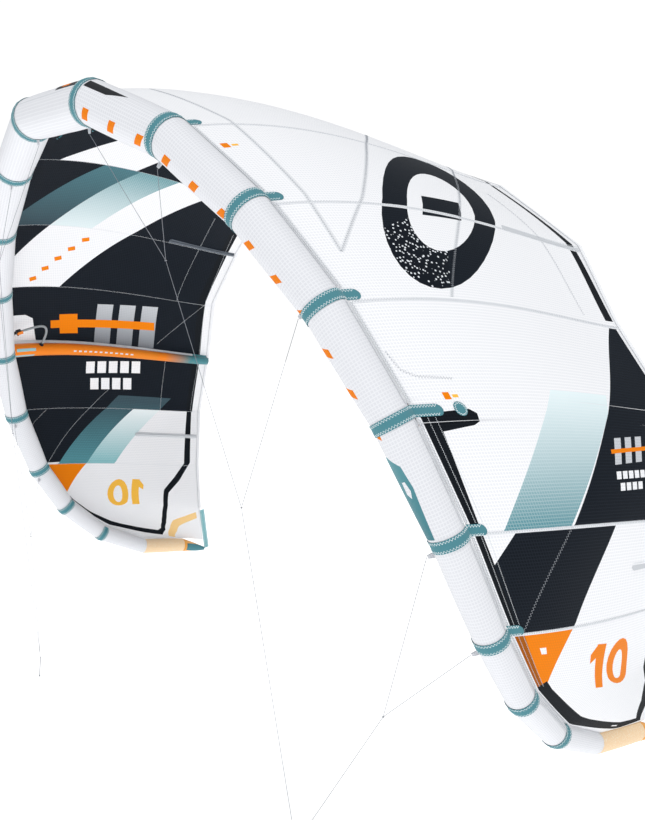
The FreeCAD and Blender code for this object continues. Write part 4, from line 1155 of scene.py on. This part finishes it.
# Rib and start of each batten pocket; each runs to the trailing edge and widens over its first third.
POCKETS = [(1.0, 0.72), (3.05, 0.68), (6.5, 0.62)]
POCKET_END, POCKET_WIDTH, POCKET_FLARE, POCKET_TIP = 0.985, 28 * MM, 8 * MM, 16 * MM
BATTEN_WIDTH, BATTEN_WALL, BATTEN_DROP, POCKET_STITCH = 13 * MM, 7.6 * MM, -3.4 * MM, 11 * MM
pocket_light = look("batten_pocket_light", rgb(204, 207, 211), rough=0.65, grain=600, weave=300)
pocket_dark = look("batten_pocket_dark", rgb(96, 104, 113), rough=0.65, grain=600, weave=300)
pockets = Pile()
for rib_u, start in POCKETS:
    for sign in (-1, 1):
        u = sign * rib_u
        shade = 1 if -6 < u < 0 else 0
        points, normals = canopy_path([(u, start), (u, POCKET_END)])
        wide = POCKET_WIDTH + POCKET_FLARE * np.clip(1 - np.linspace(0, 3, len(points)), 0, 1)
        wide[0] = POCKET_TIP
        pockets.strip(points, normals, 0, 2.2 * MM, 0, shade, wide)
        pockets.strip(points, normals, BATTEN_WIDTH, BATTEN_WALL, BATTEN_DROP, shade)
        for side in (-1, 1):
            edge = u + side * POCKET_STITCH / span_at(u)
            line, up = canopy_path([(edge, start + 0.005), (edge, POCKET_END)])
            pockets.zigzag(line, up, 2, reach=2 * MM, width=1.2 * MM, wall=3.2 * MM)
pockets.piece("batten_pockets", [pocket_light, pocket_dark, thread_pale], "batten_rod", "battens")
tapes.piece("seam_tapes", [tape_white], "canopy_ripstop")
threads_light.piece("seam_threads_light", [thread_grey], "canopy_ripstop")
threads_dark.piece("seam_threads_dark", [thread_pale], "canopy_ripstop")

# ---------------------------------------------------------------- struts
STRUT_FRONT, STRUT_TAIL, STRUT_SETBACK, STRUT_DROP = 39 * MM, 24 * MM, 22 * MM, 3.5 * MM
FLANGE_ROOT, STRUT_TAIL_SHARE, CANOPY_HALF = 0.24, 0.982, CANOPY_WALL / 2
# The round belly takes this share of the sleeve's section and turns this far; the flaps take the rest.
BELLY_SHARE, BELLY_TURN, FLAP = 0.86, math.radians(125), 11 * MM
STRUT_START, STRUT_STEPS, STRUT_SIDES, SLEEVE_WALL = -0.045, 56, 45, 0.8 * MM
END_ROWS, END_COLUMNS, END_RISE, END_CLEAR = 7, 33, 7 * MM, 0.3 * MM


def strut_axis(rib, part):
    """Axis point and radius of the strut under a rib, part running from its root to its tail."""
    first = (FLANGE_ROOT * rib.radius + STRUT_SETBACK) / rib.chord
    share = first + (STRUT_TAIL_SHARE - first) * part
    radius = STRUT_FRONT * (1 - part) + STRUT_TAIL * part
    return rib.at(share, -(radius + CANOPY_HALF + STRUT_DROP)), radius


def strut_profile(turn, radius, drop):
    """Sleeve section in (across, up from the axis): flat flap, round belly, flat flap, turn from -1 to 1."""
    if abs(turn) <= BELLY_SHARE:
        angle = turn / BELLY_SHARE * BELLY_TURN
        return radius * math.sin(angle), -radius * math.cos(angle)
    sign = 1 if turn > 0 else -1
    part = (abs(turn) - BELLY_SHARE) / (1 - BELLY_SHARE)
    start = (radius * math.sin(BELLY_TURN), -radius * math.cos(BELLY_TURN))
    return sign * (start[0] + FLAP * part), start[1] + (radius + drop - start[1]) * part


def strut_point(rib, part, turn):
    """Point of the sleeve; parts below 0 run on into the leading edge tube."""
    centre, radius = strut_axis(rib, part)
    step = strut_axis(rib, part + 0.01)[0] - strut_axis(rib, part - 0.01)[0]
    across = unit(np.cross(step, rib.out))
    above = np.cross(across, unit(step))
    x, y = strut_profile(turn, radius, STRUT_DROP)
    return centre + across * x + above * y


strut_fabric = dict(rough=0.5, sheen=0.15, grain=420.0, bump=0.2)
STRUT_LOOKS = [
    look("strut_orange", ORANGE, fade=(rgb(236, 138, 30), 1.2, -0.2), **strut_fabric),
    look("strut_fade", ORANGE, fade=(STRUT_TEAL, *fade_between(0.76, 0.9)),
         speckle=(rgb(196, 150, 92), 90.0, 0.16), **strut_fabric),
    look("strut_white", rgb(228, 229, 232), **strut_fabric),
    look("strut_pale_teal", PALE_TEAL, **strut_fabric),
    look("strut_teal", STRUT_TEAL, **strut_fabric),
]
STRUT_ORANGE, STRUT_FADE, STRUT_WHITE, STRUT_PALE, STRUT_TAIL_TEAL = range(5)


def box_outline(u0, v0, u1, v1):
    return [(u0, v0), (u1, v0), (u1, v1), (u0, v1)]


def strut_shapes():
    """Colour on a sleeve, outlines in (part, turn)."""
    shapes = [
        (STRUT_FADE, box_outline(0.72, -0.8, 0.92, 0.8)),
        (STRUT_TAIL_TEAL, box_outline(0.92, -1, 1.0, 1)),
        (STRUT_PALE, box_outline(-0.02, 0.12, 0.08, 0.30)),
        (STRUT_PALE, box_outline(-0.02, -0.30, 0.08, -0.12)),
    ]
    # a row of blank marks in place of words
    starts = [0.28 + i * 0.027 for i in range(12)]
    return shapes + [(STRUT_WHITE, box_outline(s, 0.02, s + 0.014, 0.13)) for s in starts]


def strut_ground(part, turn):
    return STRUT_ORANGE if abs(turn) < 0.8 else STRUT_WHITE


def strut_metres(part, turn):
    return np.stack([np.asarray(part) * 1.4, np.asarray(turn) * 0.12], -1)


STRUTS = {"centre": CENTRE_RIB, "right": RIBS[MIDDLE + 5], "left": RIBS[MIDDLE - 5]}
for side, rib in STRUTS.items():
    def place(parts, turns, rib=rib):
        return np.array([strut_point(rib, p, t) for p, t in zip(np.ravel(parts), np.ravel(turns))])

    parts, section = np.linspace(STRUT_START, 1.0, STRUT_STEPS), np.linspace(-1, 1, STRUT_SIDES)
    sleeve = painted_sheet(f"strut_sleeve_{side}", parts, section, strut_ground, strut_shapes(), place,
                           strut_metres, STRUT_LOOKS)
    thicken(sleeve, SLEEVE_WALL, 1.0)
    on_root(sleeve, "strut_casing", f"strut_{side}")
    # domed fabric end
    centre, radius = strut_axis(rib, 1.0)
    aim = unit(centre - strut_axis(rib, 0.97)[0])
    across = unit(np.cross(aim, rib.out))
    above = np.cross(across, aim)
    grid = np.zeros((END_ROWS, END_COLUMNS, 3))
    for i, rise in enumerate(np.linspace(0, math.pi / 2, END_ROWS)):
        flat = (radius + END_CLEAR) * max(math.cos(rise), 0.02)
        for j, turn in enumerate(np.linspace(0, 2 * math.pi, END_COLUMNS)):
            spoke = across * math.cos(turn) + above * math.sin(turn)
            grid[i, j] = centre + aim * END_RISE * math.sin(rise) + spoke * flat
    ways = np.broadcast_to(aim, grid.shape)
    cap = shell_from_grid(f"strut_end_{side}", grid, ways, SLEEVE_WALL, [STRUT_LOOKS[STRUT_TAIL_TEAL]])
    close_seam(cap)
    on_root(cap, "teal_band", *(["strut_tail_caps"] if side == "centre" else []))

# ---------------------------------------------------------------- wing tips
cone_look = look("tip_cone_look", rgb(244, 166, 66), fade=(rgb(250, 220, 176), 0.9, 0), rough=0.6, grain=420,
                 weave=260)
webbing_look = look("webbing_look", rgb(138, 192, 198), rough=0.75, sheen=0.05, grain=500, weave=420,
                    bump=0.7)
CONE_END, CONE_SWELL, CONE_ROWS, CONE_COLUMNS, CONE_WALL = 9 * MM, 2.5 * MM, 15, 49, 0.8 * MM
# The scuff cap starts this far along the cone and reaches this many degrees up each side at the tip.
CAP_START, CAP_ROWS, CAP_COLUMNS, CAP_REACH, CAP_LIFT, CAP_WALL = 0.12, 12, 17, 78, 1.6 * MM, 1.4 * MM
STRAP_START, STRAP_SHIFT, STRAP_LEAN, STRAP_WIDTH, STRAP_WALL = 0.05, 15.4 * MM, 9 * MM, 34 * MM, 2.6 * MM
for side, turn in SIDES:
    sign = 1 if side == "right" else -1
    rib = RIBS[MIDDLE + MIDDLE * sign]
    end = TIP_END * turn
    axis = end - rib.node
    aim = unit(axis)
    across = unit(np.cross(aim, rib.out))
    above = np.cross(across, aim)

    def cone_point(share, angle, lift=0.0):
        """Point of the closing cone: round at the tube, flatter and narrower towards the tip."""
        spin = math.radians(angle)
        first = rib.out * math.cos(spin) + rib.back * math.sin(spin)
        last = above * math.cos(spin) - across * math.sin(spin) * sign
        radius = rib.radius * (1 - share) + CONE_END * share + lift + CONE_SWELL * math.sin(math.pi * share)
        return rib.node + axis * share + unit(first * (1 - share) + last * share) * radius

    def cone_shell(name, shares, angles_at, lift, wall, finish):
        """Shell over the cone at the given shares, angles_at giving the angles of each row."""
        grid = np.array([[cone_point(s, a, lift) for a in angles_at(s)] for s in shares])
        ways = unit(grid - (rib.node + axis * shares[:, None, None]))
        return shell_from_grid(name, grid, ways, wall, [finish])

    rows, full_turn = np.linspace(0, 1, CONE_ROWS), np.linspace(0, 360, CONE_COLUMNS)
    cone = cone_shell(f"tip_end_{side}", rows, lambda s: full_turn, 0.0, CONE_WALL, cone_look)
    uv = cone.data.uv_layers.new(name="ribs")
    for loop, vertex in zip(uv.data, [v for p in cone.data.polygons for v in p.vertices]):
        loop.uv = (vertex // CONE_COLUMNS / (CONE_ROWS - 1), vertex % CONE_COLUMNS / (CONE_COLUMNS - 1))
    close_seam(cone)
    on_root(cone, "tip_cone", f"tip_cone_{side}")
    # scuff cap on the cone's lower half, with a swept upper edge
    lowest = 180 if above[2] > 0 else 0

    def cap_angles(share):
        reach = CAP_REACH * (0.35 + 0.65 * share)
        return np.linspace(lowest - reach, lowest + reach, CAP_COLUMNS)

    rows = np.linspace(CAP_START, 1.0, CAP_ROWS)
    cap = cone_shell(f"tip_scuff_cap_{side}", rows, cap_angles, CAP_LIFT, CAP_WALL, band_look)
    on_root(cap, "teal_webbing", f"tip_cap_{side}")
    # webbing along the tip's edge
    top = rib_end(TIP_RIB) * turn
    down = unit(end - top)
    back = unit(np.array([0, 1.0, 0]) - down * down[1])
    out = np.cross(down, back)
    strap = Pile()
    shares = np.linspace(STRAP_START, 1.0, 30)[:, None]
    line = top + (end - top) * shares + back * (STRAP_SHIFT + STRAP_LEAN * shares)
    ups = np.broadcast_to(out, line.shape)
    strap.strip(line, ups, STRAP_WIDTH, STRAP_WALL)
    for edge in (-11 * MM, 11 * MM):
        strap.zigzag(line + back * edge, ups, 1, reach=1.6 * MM, width=1.2 * MM, wall=3.4 * MM)
    strap.piece(f"tip_webbing_{side}", [webbing_look, band_thread], "teal_webbing", f"tip_strap_{side}")

# ---------------------------------------------------------------- finishes of the carried-over parts
plastic = look("valve_plastic_look", rgb(34, 37, 42), rough=0.4, sheen=0, grain=700, bump=0.15)
lid_plastic = look("valve_lid_look", rgb(46, 122, 132), rough=0.35, sheen=0, grain=700, bump=0.12)
lever_plastic = look("clip_lever_look", rgb(232, 128, 34), rough=0.38, sheen=0, grain=700, bump=0.12)
film_look = look("bladder_film_look", rgb(226, 228, 224), rough=0.3, sheen=0, grain=60, bump=0.1)
FINISHES = {
    "valve_base": plastic,
    "valve_cap": lid_plastic,
    "clip_lever": lever_plastic,
    "hose_clips": plastic,
    "hose_elbows": plastic,
    "bladder": film_look,
}
for name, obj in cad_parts.items():
    for word, finish in FINISHES.items():
        if word in name:
            obj.data.materials.clear()
            obj.data.materials.append(finish)

# ---------------------------------------------------------------- stage
FLOOR_LEVEL, FLOOR_REACH, FLOOR_STEPS, FLOOR_GLOW = -4.2, 60.0, 8, 0.44
SKY_COLOUR, SKY_STRENGTH, BACKDROP_STRENGTH = (0.95, 0.97, 1.0, 1), 0.52, 1.05


def add_light(kind, name, place, target, energy, size):
    """Lamp aimed at a target; size is the angle of a sun and the width of an area."""
    data = bpy.data.lights.new(name, kind)
    data.energy = energy
    setattr(data, "angle" if kind == "SUN" else "size", size)
    lamp = new_object(name, data)
    lamp.location = place
    lamp.rotation_euler = (Vector(target) - Vector(place)).to_track_quat("-Z", "Y").to_euler()


bpy.context.scene.view_settings.view_transform = "Standard"
world = bpy.data.worlds.new("studio")
world.use_nodes = True
sky = world.node_tree
background = sky.nodes["Background"]
background.inputs["Color"].default_value = SKY_COLOUR
background.inputs["Strength"].default_value = SKY_STRENGTH
backdrop = node(sky, "Background", values={0: (1, 1, 1, 1), 1: BACKDROP_STRENGTH})
rays = node(sky, "LightPath").outputs["Is Camera Ray"]
studio = node(sky, "MixShader", {0: rays, 1: background.outputs[0], 2: backdrop.outputs[0]})
sky.links.new(studio.outputs[0], sky.nodes["World Output"].inputs[0])
bpy.context.scene.world = world
add_light("SUN", "overhead", (2, -1.5, 8), (0, 0.8, -1), 1.40, 0.7)
add_light("AREA", "front_fill", (7.5, -4.0, 1.0), (0.5, 0.5, -1), 45, 4.0)
spread = np.linspace(-FLOOR_REACH, FLOOR_REACH, FLOOR_STEPS + 1)
row = FLOOR_STEPS + 1
corners = [i * row + j for i in range(FLOOR_STEPS) for j in range(FLOOR_STEPS)]
floor_faces = [(a, a + row, a + row + 1, a + 1) for a in corners]
floor_look = look("floor_look", rgb(250, 250, 250), rough=0.9, sheen=0, mottle=0.01, grain=30)
glow = floor_look.node_tree.nodes["Principled BSDF"].inputs
glow["Emission Color"].default_value = (1, 1, 1, 1)
glow["Emission Strength"].default_value = FLOOR_GLOW
floor_points = [(x, y, FLOOR_LEVEL) for x in spread for y in spread]
floor = new_object("floor", new_mesh("floor", floor_points, floor_faces, [floor_look], False))
